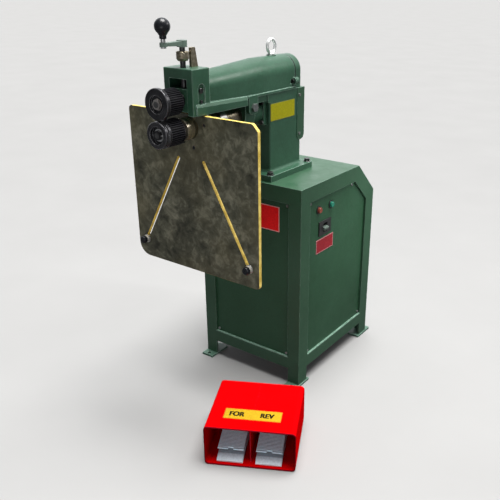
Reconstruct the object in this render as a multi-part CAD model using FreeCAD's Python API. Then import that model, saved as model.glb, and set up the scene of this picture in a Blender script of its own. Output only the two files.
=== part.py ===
import FreeCAD, Part
import math
import os

# A motorised crimping and beading machine on a steel cabinet, with a twin foot switch beside it.
# Sizes are in millimetres. X points to the control side, Y to the back and Z up.
# The origin lies on the floor, in the middle of the four anchor holes.

V = FreeCAD.Vector

# Clearances shared by every piece that slides, turns or drops in
RUN_GAP = 0.3
BUSH_GAP = 0.05
PANEL_GAP = 0.3

# Cabinet
CAB_W = 406.0
CAB_D = 470.0
CAB_TOP = 700.0
CAB_BOTTOM = 60.0
CAB_WALL = 7.0
BEVEL_Y = 115.5
BEVEL_Z = 111.0
LIP_W = 15.0
LIP_T = 3.0
SIDE_STILE = 52.0
FRONT_STILE = 47.0
OPENING_BOTTOM = 105.0
REAR_RAIL = 42.0
PANEL_T = 2.0
PANEL_LAP = 12.0
VENT_ROWS = 6
VENT_PITCH = 16.0
VENT_W = 90.0
VENT_H = 5.0
VENT_Z = 180.0
POST_X = 44.0
POST_Y = 48.0
FOOT_T = 8.0
FOOT_X = 47.0
FOOT_Y = 88.0
FOOT_OUT_X = 3.0
FOOT_OUT_Y = 28.0
ANCHOR_IN_X = 22.0
ANCHOR_IN_Y = 13.0
ANCHOR_R = 6.5
TRAY_T = 4.0
SCREW_R = 2.5
SCREW_HEAD_R = 4.5
SCREW_HEAD_T = 2.5
SCREW_INSET = 8.5

# Column on top of the cabinet
COL_HALF = 50.0
COL_FRONT = -186.0
COL_BACK = -17.0
COL_TOP = 965.0
COL_WALL = 7.0
COL_CORNER = 5.0
TAB_T = 5.5
TAB_FRONT = -196.0
TAB_BOTTOM = 938.0
TAB_ROUND = 6.0
BASE_HALF = 81.0
BASE_FRONT = -222.0
BASE_BACK = 10.0
BASE_T = 20.0
BASE_FILLET = 10.0
BASE_BOLT_X = 68.0
BASE_BOLT_Y = (-209.0, -1.0)
BASE_BOLT_R = 6.0
BASE_BOLT_FLATS = 18.0
BASE_BOLT_HEAD = 8.0
BASE_WASHER_R = 12.0
BASE_WASHER_T = 2.0

# The two roll shafts and their bushes
LOWER_Z = 907.5
SHAFT_SPACING = 79.0
UPPER_Z = LOWER_Z + SHAFT_SPACING
SHAFT_R = 15.0
ARBOR_R = 12.5
BUSH_R = 20.0
BUSH_L = 36.0
BUSH_BOSS_R = 28.0
LOWER_SHAFT_END = -8.0
LOWER_COLLAR_R = 24.0
UPPER_COLLAR_R = 22.0
COLLAR_T = 13.0
BALL_BUSH_R = 21.0
BALL_BUSH_L = 28.0
PIVOT_Y = -67.0
UPPER_SHAFT_END = -52.5
LIFT_TRAVEL = 17.5

# Gears that turn the shafts against each other
GEAR_TEETH = 24
GEAR_TIP_OVER = 2.0
GEAR_ROOT_UNDER = 3.0
GEAR_TIP_HALF = 1.9
GEAR_ROOT_HALF = 4.6
GEAR_FRONT = -112.0
GEAR_W = 24.0

# Chain drive from the gearbox in the cabinet
CHAIN_Y = -141.0
CHAIN_PITCH = 15.875
SPROCKET_TEETH = 13
SPROCKET_T = 8.9
SPROCKET_TIP_R = 37.0
SPROCKET_ROOT_R = 28.0
SPROCKET_TIP_HALF = 2.5
SPROCKET_ROOT_HALF = 9.0
ROLLER_R = 5.08
LINK_HALF = 7.0
LINK_T = 1.6
LINK_IN = 4.95
LINK_PIN_R = 2.5
LINK_PIN_OUT = 7.4
DRIVE_Z = 175.0
DRIVE_SHAFT_R = 12.5
DRIVE_HUB_R = 22.0
DRIVE_HUB_T = 7.0
DRIVEN_HUB_T = 14.0
CHAIN_SLOT_X = 44.0
CHAIN_SLOT_Y = 12.0
DRIVE_SHAFT_PROUD = 4.0

# Gearbox, motor and control box in the cabinet
GEARBOX_HALF = 70.0
GEARBOX_FRONT = -120.0
GEARBOX_BACK = 10.0
GEARBOX_TOP = 265.0
GEARBOX_FOOT_T = 12.0
GEARBOX_FOOT_OUT = 16.0
GEARBOX_BOSS_R = 40.0
GEARBOX_BOSS_T = 7.0
GEARBOX_ROUND = 8.0
DRIVE_SHAFT_SEAT = 60.0
MOTOR_R = 72.0
MOTOR_L = 155.0
MOTOR_FINS = 20
MOTOR_FIN_T = 3.0
MOTOR_FIN_H = 5.0
MOTOR_FIN_ENDS = (15.0, 5.0)
MOTOR_SPIGOT = 8.0
FAN_COVER_L = 45.0
FAN_COVER_T = 2.0
TERMINAL_W = 90.0
TERMINAL_L = 80.0
TERMINAL_H = 38.0
CONTROL_X = 86.0
CONTROL_Y = (-170.0, 30.0)
CONTROL_Z = (320.0, 560.0)
CONTROL_WALL = 2.0
GLAND_R = 9.0
GLAND_FLATS = 22.5
GLAND_OUT = 18.0
GLAND_FLANGE_T = 6.0
GLAND_DOME_WALL = 2.0
GLAND_HOLE_R = 4.0
CABINET_GLAND_X = 150.0
CABINET_GLAND_Z = 84.0

# Head casting
HEAD_WALL = 7.0
BOX_HALF = 51.0
BOX_FRONT = -525.0
BOX_BACK = -458.0
HEAD_GAP = 9.5
BOX_TOP = 1069.0
BOX_ROUND = 2.5
SLOT_HALF = 31.0
SLOT_ROOM = 8.0
SLOT_BACK = -470.0
ARCH_FRONT_R = 41.0
ARCH_MIDDLE_R = 46.0
ARCH_REAR_R = 50.0
ARCH_FRONT_Z = 1011.0
ARCH_MIDDLE_Z = 1013.5
ARCH_REAR_Z = 1018.0
ARCH_FULL_Y = -216.0
HEAD_BACK = -52.0
FRONT_FLANGE_HALF = 55.0
FRONT_FLANGE_START = -514.0
FRONT_FLANGE_END = -299.0
FRONT_FLANGE_EDGE = (970.0, 963.0)
FRONT_FLANGE_RIDGE = (979.0, 972.0)
FRONT_FLANGE_BOTTOM = (948.0, 946.0)
FRONT_FLOOR = 960.0
REAR_FLANGE_HALF = 54.0
REAR_FLANGE_T = 7.0
HEAD_WEB_T = 32.0
WEB_PAD_HALF = 36.0
WEB_PAD_T = 10.0
LUG_FRONT = -293.0
LUG_BACK = -251.0
LUG_BOTTOM = 918.0
LUG_ROUND = 12.0
HANGER_BOLT_Y = -272.0
HANGER_BOLT_Z = 937.0
HANGER_BOLT_R = 7.0
HANGER_FLATS = 22.0
HANGER_HEAD = 8.0
RECESS_Y = -490.5
RECESS_HALF = 13.5
RECESS_BOTTOM = 976.0
RECESS_TOP = 1029.5
RECESS_DEPTH = 4.0
RECESS_FOOT_R = 3.0
RECESS_HEAD_R = 13.0
GIB_SCREWS = ((1011.5, 7.0), (983.0, 4.5))
GIB_SHANK_R = 4.0
REAR_LUG_X = (34.0, 47.0)
REAR_LUG_BACK = -198.0
REAR_LUG_BOTTOM = 945.0
CAP_T = 40.0
CAP_WALL = 8.0
CAP_ROUND = 11.0
CAP_INSET = 1.0
CAP_GROOVE_T = 3.5
CAP_GROOVE_DEPTH = 3.0
CAP_EAR_R = 12.0
CAP_EAR_DROP = 29.5
CAP_EAR_FRONT = 10.0
CAP_EAR_BACK = 8.0
CAP_BOLT_R = 4.0
CAP_HEAD_R = 6.5
CAP_HEAD_T = 6.0
CAP_POCKET_L = 14.0
CAP_SOCKET_FLATS = 6.0
CAP_SOCKET_DEPTH = 3.0
EYE_Y = -110.0
EYE_PAD_R = 15.0
EYE_PAD_RISE = 2.0
EYE_RING_R = 20.0
EYE_WIRE_R = 5.0
EYE_RING_RISE = 25.0
EYE_COLLAR_R = 12.0
EYE_COLLAR_T = 5.0
EYE_COLLAR_EDGE = 1.0
EYE_SHANK_R = 6.0
EYE_SHANK_L = 20.0

# Guard behind the column
GUARD_T = 2.0
GUARD_BOTTOM = 797.0
GUARD_FRONT = -39.0
GUARD_BACK = 1.0
GUARD_ROUND = 17.0
GUARD_SCREW_Y = -27.0
GUARD_SCREW_Z = (942.0, 817.0)

# Lower arm
ARM_FLANGE_HALF = 37.0
ARM_FLANGE_T = 14.0
ARM_R = 43.0
ARM_NECK_R = 33.0
ARM_TOP = 945.0
ARM_FRONT = -297.0
ARM_BOLT = 29.0
ARM_BOLT_R = 4.0
ARM_BOLT_FLATS = 13.0
ARM_BOLT_HEAD = 5.2
TUBE_R = 31.0
TUBE_FRONT = -527.0
RING_NUT_R = 36.0
RING_NUT_Y = (-392.0, -366.0)
RING_NUT_NOTCHES = 6
RING_NUT_NOTCH = 7.0
TUBE_SCREW_Y = -519.0
TUBE_SCREW_R = 4.0
TUBE_SCREW_HEAD_R = 6.0
TUBE_SCREW_HEAD_T = 5.0

# Slide block, lift screw, crank and stop
BLOCK_DROP = 29.5
BLOCK_RISE = 30.5
LIFT_Y = -502.0
LIFT_R = 7.5
LIFT_SEAT = 5.5
LIFT_TIP = 1.0
CRANK_HUB_Z = (1121.0, 1138.0)
CRANK_HUB_R = 13.5
CRANK_TOP_R = 6.0
CRANK_L = 67.0
CRANK_EYE_R = 9.5
CRANK_EYE_Z = (1125.0, 1136.0)
CRANK_ROOT_W = 20.0
CRANK_ROOT_T = 13.0
CRANK_TIP_W = 13.0
CRANK_TIP_T = 8.0
PIN_R = 4.5
PIN_COLLAR_R = 6.2
PIN_HEAD_R = 7.0
PIN_HEAD_T = 3.5
PIN_TOP = 1165.0
KNOB_BOTTOM = 1144.5
KNOB_EDGE = 2.0
KNOB_NECK_R = 9.2
KNOB_CONE_R = 14.0
KNOB_CONE_Z = (1153.0, 1160.0)
KNOB_BALL_R = 20.5
KNOB_BALL_Z = 1175.0
STOP_NUT_R = 16.5
STOP_NUT_Z = (1086.0, 1110.0)
STOP_NUT_TAPER = 6.0
STOP_NUT_FOOT_R = 13.0
STOP_NUT_EDGE = 1.5
STOP_NUT_SLOTS = 6
STOP_NUT_SLOT_W = 4.5
STOP_NUT_SLOT_DEPTH = 5.0
STOP_POST_X = (6.0, 14.0)
STOP_POST_Y = (-484.0, -459.0)
STOP_POST_TOP_L = 16.0
STOP_POST_TOP = 1119.0
STOP_POST_ROUND = 3.0

# Rolls
CRIMP_TEETH = 38
UPPER_CRIMP_R = 35.5
CRIMP_GAP = 7.0
CRIMP_TOOTH_H = 3.4
CRIMP_TIP_HALF = 1.4
CRIMP_ROOT_HALF = 2.8
CRIMP_BACK = -541.0
UPPER_CRIMP_FRONT = -597.0
LOWER_CRIMP_FRONT = -594.0
UPPER_DISC_R = 41.5
UPPER_DISC_FRONT = -608.0
DISC_GAP = 0.5
DISC_STEP = 1.0
LOWER_RIM_FRONT = -602.0
LOWER_GROOVE_FRONT = -605.0
GROOVE_DEPTH = 2.5
LOWER_DISC_FRONT = -614.0
DISC_EDGE = 1.5
UPPER_RECESS_R = 24.0
UPPER_RECESS_DEPTH = 7.0
LOWER_RECESS_R = 24.0
LOWER_RECESS_DEPTH = 10.0
ROLL_STUD_R = 8.0
ROLL_NUT_FLATS = 24.0
ROLL_NUT_ROUND_R = 13.2
ROLL_NUT_T = 6.0
UPPER_WASHER_R = 16.0
LOWER_WASHER_R = 18.5
ROLL_WASHER_T = 1.5
ROLL_STUD_PROUD = 1.5
ARBOR_SHORT = 1.0

# Gauge plate, its flange and clamps
PLATE_HALF = 235.0
PLATE_BOTTOM = 480.0
PLATE_GAP = 3.0
PLATE_FRONT = -490.0
PLATE_T = 11.0
PLATE_TOP_LEFT_R = 12.0
PLATE_TOP_RIGHT_CUT = 18.0
PLATE_BOTTOM_LEFT_R = 40.0
PLATE_BOTTOM_RIGHT_R = 10.0
GUIDE_TOP = (47.0, 816.5)
GUIDE_END = (201.0, 536.0)
GUIDE_W = 10.0
FLANGE_DISC_R = 65.0
FLANGE_DISC_T = 10.0
FLANGE_HUB_R = 37.5
FLANGE_HUB_BACK = -440.0
PLATE_SCREW_CIRCLE = 55.0
PLATE_SCREW_TURNS = (13.5, 193.5, 283.5)
PLATE_SCREW_R = 3.0
PLATE_SCREW_HEAD_R = 5.5
PLATE_SCREW_HEAD_T = 5.0
PLATE_SOCKET_FLATS = 5.0
PLATE_SOCKET_DEPTH = 3.0
PLATE_SCREW_L = 19.0
HUB_SCREW_R = 4.0
HUB_SCREW_GRIP_R = 6.5
HUB_SCREW_L = 14.0
CLAMP_STUD_R = 4.0
CLAMP_WASHER_R = 13.0
CLAMP_WASHER_T = 2.0
CLAMP_KNOB_R = 11.5
CLAMP_KNOB_T = 20.0
CLAMP_KNOB_ROUND = 5.0
CLAMP_NUT_FLATS = 13.0
CLAMP_NUT_T = 6.5
CLAMP_STUD_PROUD = 2.0

# Controls and plates on the cabinet and column
BUTTON_Z = 607.0
RED_BUTTON_Y = -124.0
GREEN_BUTTON_Y = -50.0
BUTTON_R = 9.3
BUTTON_PROUD = 7.0
BUTTON_L = 24.0
BUTTON_TRAVEL = 4.0
BUTTON_EDGE = 1.5
BEZEL_R = 13.5
BEZEL_T = 2.5
BEZEL_SLEEVE_R = 10.8
BEZEL_SLEEVE_L = 30.0
SWITCH_Y = (-122.0, -51.0)
SWITCH_Z = (515.0, 563.0)
SWITCH_T = 4.0
SWITCH_BACK_L = 30.0
SWITCH_BACK_INSET = (8.0, 5.0)
SWITCH_WINDOW_DEPTH = 10.0
SWITCH_PIVOT_IN = 5.0
SWITCH_LEVER_W = 26.0
SWITCH_LEVER_H = 9.0
SWITCH_LEVER_PROUD = 7.0
SWITCH_PIN_R = 2.0
SWITCH_PIN_SEAT = 4.0
SWITCH_BARREL_R = 3.5
SWITCH_WINDOW_H = 30.0
SWITCH_SWING = 25.0
LABEL_T = 1.0
SIDE_LABEL_Y = (-134.0, -30.0)
SIDE_LABEL_Z = (455.0, 503.0)
FRONT_LABEL_X = (20.0, 117.0)
FRONT_LABEL_Z = (545.0, 629.0)
COLUMN_LABEL_Y = (-183.0, -53.0)
COLUMN_LABEL_Z = (880.0, 933.0)
GUARD_LABEL_U = (-85.0, 82.0)
GUARD_LABEL_V = (-69.0, -22.0)

# Foot switch, drawn along its own axes and then turned and set down beside the cabinet
SWITCH_AT = (256.5, -539.1)
SWITCH_YAW = 27.58
HOOD_W = 262.0
HOOD_D = 234.0
HOOD_H = 128.75
HOOD_T = 2.0
HOOD_ROUND = 12.0
DIVIDER_U = -2.0
DIVIDER_START = 25.0
PEDAL_U = (-61.0, 51.5)
PEDAL_W = 76.0
PEDAL_BASE_V = (-103.0, 60.0)
PEDAL_BASE_T = 14.0
APRON_LIP = 4.0
APRON_L = 21.0
PEDAL_FRONT_V = -85.0
PEDAL_FRONT_Z = 36.0
PEDAL_SLOPE = 9.5
PEDAL_L = 142.0
PEDAL_T = 5.0
RIB_COUNT = 26
RIB_START = 6.0
RIB_PITCH = 5.0
RIB_W = 2.2
RIB_H = 1.0
NOTCH_W = 16.0
NOTCH_L = 5.0
SKIRT_T = 3.0
SKIRT_START = 8.0
SKIRT_DROP = 2.0
HINGE_V = 42.0
HINGE_Z = 40.0
HINGE_PIN_R = 3.0
HINGE_LUG_T = 6.0
HINGE_LUG_U = 27.0
HINGE_LUG_HALF = 9.0
SPRING_R = 5.5
SPRING_L = 30.0
HOOD_GLAND_U = 70.0
HOOD_GLAND_Z = 30.0

# Places and sizes that follow from the values above
GEAR_TIP_R = SHAFT_SPACING / 2 + GEAR_TIP_OVER
GEAR_ROOT_R = SHAFT_SPACING / 2 - GEAR_ROOT_UNDER
BLOCK_BOTTOM = UPPER_Z - BLOCK_DROP
BLOCK_TOP = UPPER_Z + BLOCK_RISE
SLOT_TOP = BLOCK_TOP + LIFT_TRAVEL + SLOT_ROOM
BOX_BOTTOM = LOWER_Z + TUBE_R + HEAD_GAP
PLATE_TOP = BOX_BOTTOM - PLATE_GAP
LOWER_CRIMP_R = SHAFT_SPACING - UPPER_CRIMP_R - CRIMP_GAP
LOWER_RIM_R = SHAFT_SPACING - UPPER_DISC_R - DISC_GAP
LOWER_DISC_R = LOWER_RIM_R - DISC_STEP
LOWER_GROOVE_R = LOWER_DISC_R - GROOVE_DEPTH
PANEL_FACE = CAB_W / 2 - CAB_WALL
FRONT_PANEL_FACE = -(CAB_D / 2 - CAB_WALL)
CHAIN_R = CHAIN_PITCH / (2 * math.sin(math.pi / SPROCKET_TEETH))
TRAY_TOP = CAB_BOTTOM + LIP_T + TRAY_T


# Basic shapes

def box(x0, x1, y0, y1, z0, z1):
    return Part.makeBox(x1 - x0, y1 - y0, z1 - z0, V(x0, y0, z0))


def rod_x(radius, x0, x1, y, z):
    return Part.makeCylinder(radius, x1 - x0, V(x0, y, z), V(1, 0, 0))


def rod_y(radius, y0, y1, x, z):
    return Part.makeCylinder(radius, y1 - y0, V(x, y0, z), V(0, 1, 0))


def rod_z(radius, z0, z1, x, y):
    return Part.makeCylinder(radius, z1 - z0, V(x, y, z0), V(0, 0, 1))


def outward(solid):
    return solid if solid.Volume > 0 else solid.reversed()


def prism(wire, along):
    return outward(Part.Face(wire).extrude(along))


def loop(corners):
    return Part.makePolygon(corners + corners[:1])


def slab_x(outline, x0, x1):
    return prism(loop([V(x0, y, z) for y, z in outline]), V(x1 - x0, 0, 0))


def slab_y(outline, y0, y1):
    return prism(loop([V(x, y0, z) for x, z in outline]), V(0, y1 - y0, 0))


def turned_y(profile, x, z):
    """A solid of revolution about a line along Y, from (radius, y) corners."""
    wire = loop([V(x + radius, y, z) for radius, y in profile])
    return outward(Part.Face(wire).revolve(V(x, 0, z), V(0, 1, 0), 360))


def turned_z(profile, x, y):
    """A solid of revolution about an upright line, from (radius, z) corners."""
    wire = loop([V(x + radius, y, z) for radius, z in profile])
    return outward(Part.Face(wire).revolve(V(x, y, 0), V(0, 0, 1), 360))


def rounded_wire(corners, place):
    """A closed wire through (a, b, radius) corners; place puts a flat point in space."""
    stretches = []
    count = len(corners)
    for index, (a, b, radius) in enumerate(corners):
        here = V(a, b, 0)
        back = (V(*corners[index - 1][:2], 0) - here).normalize()
        ahead = (V(*corners[(index + 1) % count][:2], 0) - here).normalize()
        if radius == 0:
            stretches.append((here, None, here))
            continue
        half = back.getAngle(ahead) / 2
        reach = radius / math.tan(half)
        middle = here + (back + ahead).normalize() * (radius / math.sin(half) - radius)
        stretches.append((here + back * reach, middle, here + ahead * reach))
    edges = []
    for index, (start, middle, stop) in enumerate(stretches):
        if middle is not None:
            edges.append(Part.Arc(place(start), place(middle), place(stop)).toShape())
        following = stretches[(index + 1) % count][0]
        if (following - stop).Length > 0.001:
            edges.append(Part.LineSegment(place(stop), place(following)).toShape())
    return Part.Wire(edges)


def rounded_slab_y(corners, y0, y1):
    wire = rounded_wire(corners, lambda point: V(point.x, y0, point.y))
    return prism(wire, V(0, y1 - y0, 0))


def rounded_slab_x(corners, x0, x1):
    wire = rounded_wire(corners, lambda point: V(x0, point.x, point.y))
    return prism(wire, V(x1 - x0, 0, 0))


def six_corners(flats):
    """Corners of a hexagon round the zero point; flats is its width over two flat sides."""
    radius = flats / math.sqrt(3)
    turns = [math.radians(60 * step) for step in range(6)]
    return [(radius * math.cos(turn), radius * math.sin(turn)) for turn in turns]


def hexagon_y(flats, y0, y1, x, z):
    return slab_y([(x + a, z + b) for a, b in six_corners(flats)], y0, y1)


def hexagon_x(flats, x0, x1, y, z):
    return slab_x([(y + a, z + b) for a, b in six_corners(flats)], x0, x1)


def hexagon_z(flats, z0, z1, x, y):
    return prism(loop([V(x + a, y + b, z0) for a, b in six_corners(flats)]), V(0, 0, z1 - z0))


def fused(solids):
    return solids[0].fuse(solids[1:]).removeSplitter()


def mirrored(shape):
    return shape.mirror(V(0, 0, 0), V(1, 0, 0))


def both_sides(solids):
    return list(solids) + [mirrored(solid) for solid in solids]


def rounded_edges(solid, radius, chosen):
    """Fillet the edges whose two ends and middle all satisfy chosen."""
    edges = []
    for edge in solid.Edges:
        middle = edge.valueAt((edge.FirstParameter + edge.LastParameter) / 2)
        points = [vertex.Point for vertex in edge.Vertexes] + [middle]
        if all(chosen(point) for point in points):
            edges.append(edge)
    return solid.makeFillet(radius, edges)


def toothed_wheel(teeth, tip_r, root_r, tip_half, root_half, y0, y1, z, first):
    """A wheel with straight-flanked teeth; first is the angle of one tooth in degrees."""
    flanks = ((root_r, -root_half), (tip_r, -tip_half), (tip_r, tip_half), (root_r, root_half))
    outline = []
    for tooth in range(teeth):
        middle = first + 360.0 * tooth / teeth
        for radius, turn in flanks:
            angle = math.radians(middle + turn)
            outline.append((radius * math.cos(angle), z + radius * math.sin(angle)))
    return slab_y(outline, y0, y1)


# Cabinet

def cabinet_outline(inset, bottom):
    """Side view of the cabinet, drawn in by inset all round; bottom is the height it starts at."""
    top_turn = math.atan2(BEVEL_Z, BEVEL_Y)
    back_turn = math.pi / 2 - top_turn
    half = CAB_D / 2 - inset
    return [
        (-half, bottom),
        (-half, CAB_TOP - inset),
        (CAB_D / 2 - BEVEL_Y - inset * math.tan(top_turn / 2), CAB_TOP - inset),
        (half, CAB_TOP - BEVEL_Z - inset * math.tan(back_turn / 2)),
        (half, bottom),
    ]


def front_opening():
    half = CAB_W / 2 - FRONT_STILE
    return half, OPENING_BOTTOM, CAB_TOP - SIDE_STILE


def rear_opening():
    half = CAB_W / 2 - FRONT_STILE
    return half, OPENING_BOTTOM, CAB_TOP - BEVEL_Z - REAR_RAIL


def side_screw_points():
    """Middle of each side panel screw as (y, z)."""
    half = CAB_D / 2 - SIDE_STILE - SCREW_INSET
    low = OPENING_BOTTOM + SCREW_INSET
    high = CAB_TOP - SIDE_STILE - SCREW_INSET
    bevel_start = CAB_D / 2 - BEVEL_Y - SIDE_STILE / 2
    return [(-half, low), (half, low), (-half, high), (bevel_start - SCREW_INSET, high)]


def end_screw_points(opening):
    """Middle of each front or rear panel screw as (x, z)."""
    half, low, high = opening
    return [(side * (half - SCREW_INSET), height)
            for side in (-1, 1) for height in (low + SCREW_INSET, high - SCREW_INSET)]


def corner_post(x_side, y_side):
    """Angle-section leg from the foot plate up to the cabinet floor."""
    outer_x = x_side * CAB_W / 2
    outer_y = y_side * CAB_D / 2
    xs = sorted((outer_x, outer_x - x_side * POST_X))
    ys = sorted((outer_y, outer_y - y_side * POST_Y))
    flange_x = sorted((outer_x, outer_x - x_side * CAB_WALL))
    flange_y = sorted((outer_y, outer_y - y_side * CAB_WALL))
    return [box(xs[0], xs[1], flange_y[0], flange_y[1], FOOT_T, CAB_BOTTOM),
            box(flange_x[0], flange_x[1], ys[0], ys[1], FOOT_T, CAB_BOTTOM)]


def cabinet_frame():
    half_w = CAB_W / 2
    shell = slab_x(cabinet_outline(0, CAB_BOTTOM), -half_w, half_w)
    inside = slab_x(cabinet_outline(CAB_WALL, CAB_BOTTOM + LIP_T), -half_w + CAB_WALL, half_w - CAB_WALL)
    hatch = box(-half_w + CAB_WALL + LIP_W, half_w - CAB_WALL - LIP_W,
                -CAB_D / 2 + CAB_WALL + LIP_W, CAB_D / 2 - CAB_WALL - LIP_W,
                CAB_BOTTOM - 1, CAB_BOTTOM + LIP_T + 1)
    sides = slab_x(cabinet_outline(SIDE_STILE, OPENING_BOTTOM), -half_w - 1, half_w + 1)
    half, low, high = front_opening()
    front = box(-half, half, -CAB_D / 2 - 1, 0, low, high)
    half, low, high = rear_opening()
    rear = box(-half, half, 0, CAB_D / 2 + 1, low, high)
    chain_slot = box(-CHAIN_SLOT_X, CHAIN_SLOT_X, CHAIN_Y - CHAIN_SLOT_Y, CHAIN_Y + CHAIN_SLOT_Y,
                     CAB_TOP - 2 * CAB_WALL, CAB_TOP + 1)
    holes = [rod_z(BASE_BOLT_R, CAB_TOP - 2 * CAB_WALL, CAB_TOP + 1, x, y) for x, y in base_bolt_points()]
    gland = rod_y(GLAND_R, CAB_D / 2 - 2 * CAB_WALL, CAB_D / 2 + 1, CABINET_GLAND_X, CABINET_GLAND_Z)
    frame = shell.cut([inside, hatch, sides, front, rear, chain_slot, gland] + holes)
    posts = []
    for x_side in (-1, 1):
        for y_side in (-1, 1):
            posts += corner_post(x_side, y_side)
    return fused([frame] + posts)


def foot_plates():
    plates = []
    for x_side in (-1, 1):
        for y_side in (-1, 1):
            outer_x = x_side * (CAB_W / 2 + FOOT_OUT_X)
            outer_y = y_side * (CAB_D / 2 + FOOT_OUT_Y)
            xs = sorted((outer_x, outer_x - x_side * FOOT_X))
            ys = sorted((outer_y, outer_y - y_side * FOOT_Y))
            plate = box(xs[0], xs[1], ys[0], ys[1], 0, FOOT_T)
            hole_x = outer_x - x_side * ANCHOR_IN_X
            hole_y = outer_y - y_side * ANCHOR_IN_Y
            plates.append(plate.cut(rod_z(ANCHOR_R, -1, FOOT_T + 1, hole_x, hole_y)))
    return Part.makeCompound(plates)


def side_panel():
    lap = SIDE_STILE - PANEL_LAP
    panel = slab_x(cabinet_outline(lap, OPENING_BOTTOM - PANEL_LAP), PANEL_FACE - PANEL_T, PANEL_FACE)
    holes = [rod_x(SCREW_R, PANEL_FACE - PANEL_T - 1, PANEL_FACE + 1, y, z) for y, z in side_screw_points()]
    return panel.cut(holes)


def side_panels():
    left = mirrored(side_panel())
    sleeves = [rod_x(BEZEL_SLEEVE_R, PANEL_FACE - PANEL_T - 1, PANEL_FACE + 1, y, BUTTON_Z)
               for y in (RED_BUTTON_Y, GREEN_BUTTON_Y)]
    window = box(PANEL_FACE - PANEL_T - 1, PANEL_FACE + 1, *switch_back_y(), *switch_back_z())
    right = side_panel().cut(sleeves + [window])
    return Part.makeCompound([left, right])


def front_panel():
    half, low, high = front_opening()
    panel = box(-half - PANEL_LAP, half + PANEL_LAP, FRONT_PANEL_FACE, FRONT_PANEL_FACE + PANEL_T,
                low - PANEL_LAP, high + PANEL_LAP)
    holes = [rod_y(SCREW_R, FRONT_PANEL_FACE - 1, FRONT_PANEL_FACE + PANEL_T + 1, x, z)
             for x, z in end_screw_points(front_opening())]
    return panel.cut(holes)


def rear_panel():
    half, low, high = rear_opening()
    face = -FRONT_PANEL_FACE
    panel = box(-half - PANEL_LAP, half + PANEL_LAP, face - PANEL_T, face, low - PANEL_LAP, high + PANEL_LAP)
    cuts = [rod_y(SCREW_R, face - PANEL_T - 1, face + 1, x, z) for x, z in end_screw_points(rear_opening())]
    for row in range(VENT_ROWS):
        z = VENT_Z + row * VENT_PITCH
        cuts.append(box(-VENT_W / 2, VENT_W / 2, face - PANEL_T - 1, face + 1, z, z + VENT_H))
    return panel.cut(cuts)


def base_tray():
    half_x = CAB_W / 2 - CAB_WALL - PANEL_GAP
    half_y = CAB_D / 2 - CAB_WALL - PANEL_GAP
    return box(-half_x, half_x, -half_y, half_y, CAB_BOTTOM + LIP_T, TRAY_TOP)


def panel_screw_x(x_face, y, z):
    shank = rod_x(SCREW_R, x_face - PANEL_T, x_face, y, z)
    return shank.fuse(rod_x(SCREW_HEAD_R, x_face, x_face + SCREW_HEAD_T, y, z)).removeSplitter()


def panel_screw_y(face, side, x, z):
    """A screw in a panel that faces to the front (side -1) or to the back (side 1)."""
    shank_y = sorted((face, face - side * PANEL_T))
    head_y = sorted((face, face + side * SCREW_HEAD_T))
    shank = rod_y(SCREW_R, shank_y[0], shank_y[1], x, z)
    return shank.fuse(rod_y(SCREW_HEAD_R, head_y[0], head_y[1], x, z)).removeSplitter()


def cover_screws():
    side = [panel_screw_x(PANEL_FACE, y, z) for y, z in side_screw_points()]
    guard = [guard_screw(z) for z in GUARD_SCREW_Z]
    front = [panel_screw_y(FRONT_PANEL_FACE, -1, x, z) for x, z in end_screw_points(front_opening())]
    rear = [panel_screw_y(-FRONT_PANEL_FACE, 1, x, z) for x, z in end_screw_points(rear_opening())]
    return Part.makeCompound(both_sides(side + guard) + front + rear)


# Column and lower arm

def base_bolt_points():
    return [(side * BASE_BOLT_X, y) for side in (-1, 1) for y in BASE_BOLT_Y]


def arm_bolt_points():
    return [(x * ARM_BOLT, LOWER_Z + z * ARM_BOLT) for x in (-1, 1) for z in (-1, 1)]


def column():
    inner = COL_HALF - COL_WALL
    body = box(-COL_HALF, COL_HALF, COL_FRONT, COL_BACK, CAB_TOP, COL_TOP)
    body = rounded_edges(body, COL_CORNER, upright_edges(COL_HALF, COL_FRONT, COL_BACK))
    flange = box(-BASE_HALF, BASE_HALF, BASE_FRONT, BASE_BACK, CAB_TOP, CAB_TOP + BASE_T)
    cast = fused([body, flange])

    def at_foot(point):
        return (abs(point.z - CAB_TOP - BASE_T) < 0.01 and abs(point.x) < COL_HALF + 0.01
                and COL_FRONT - 0.01 < point.y < COL_BACK + 0.01)

    cast = rounded_edges(cast, BASE_FILLET, at_foot)
    cavity = box(-inner, inner, COL_FRONT + COL_WALL, COL_BACK - COL_WALL, CAB_TOP - 1, COL_TOP + 1)
    bosses = [rod_y(BUSH_BOSS_R, COL_FRONT, COL_FRONT + BUSH_L, 0, LOWER_Z),
              rod_y(BUSH_BOSS_R, COL_BACK - BUSH_L, COL_BACK, 0, LOWER_Z)]
    bore = rod_y(BUSH_R, COL_FRONT - 1, COL_BACK + 1, 0, LOWER_Z)
    bolts = [rod_z(BASE_BOLT_R, CAB_TOP - 1, CAB_TOP + BASE_T + 1, x, y) for x, y in base_bolt_points()]
    arm_bolts = [rod_y(ARM_BOLT_R, COL_FRONT - 1, COL_FRONT + COL_WALL + 1, x, z)
                 for x, z in arm_bolt_points()]
    screws = both_sides([rod_x(SCREW_R, inner - 1, COL_HALF + 1, GUARD_SCREW_Y, z) for z in GUARD_SCREW_Z])
    cast = fused([cast.cut(cavity)] + bosses + both_sides([column_tab()]))
    return cast.cut([bore] + bolts + arm_bolts + screws)


def column_tab():
    """One of the two ears that stand forward from the top of the column beside the arm."""
    rear = COL_FRONT + COL_CORNER
    outline = [(TAB_FRONT, COL_TOP, 0), (rear, COL_TOP, 0),
               (rear, TAB_BOTTOM, 0), (TAB_FRONT, TAB_BOTTOM, TAB_ROUND)]
    return rounded_slab_x(outline, COL_HALF - TAB_T, COL_HALF)


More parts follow.
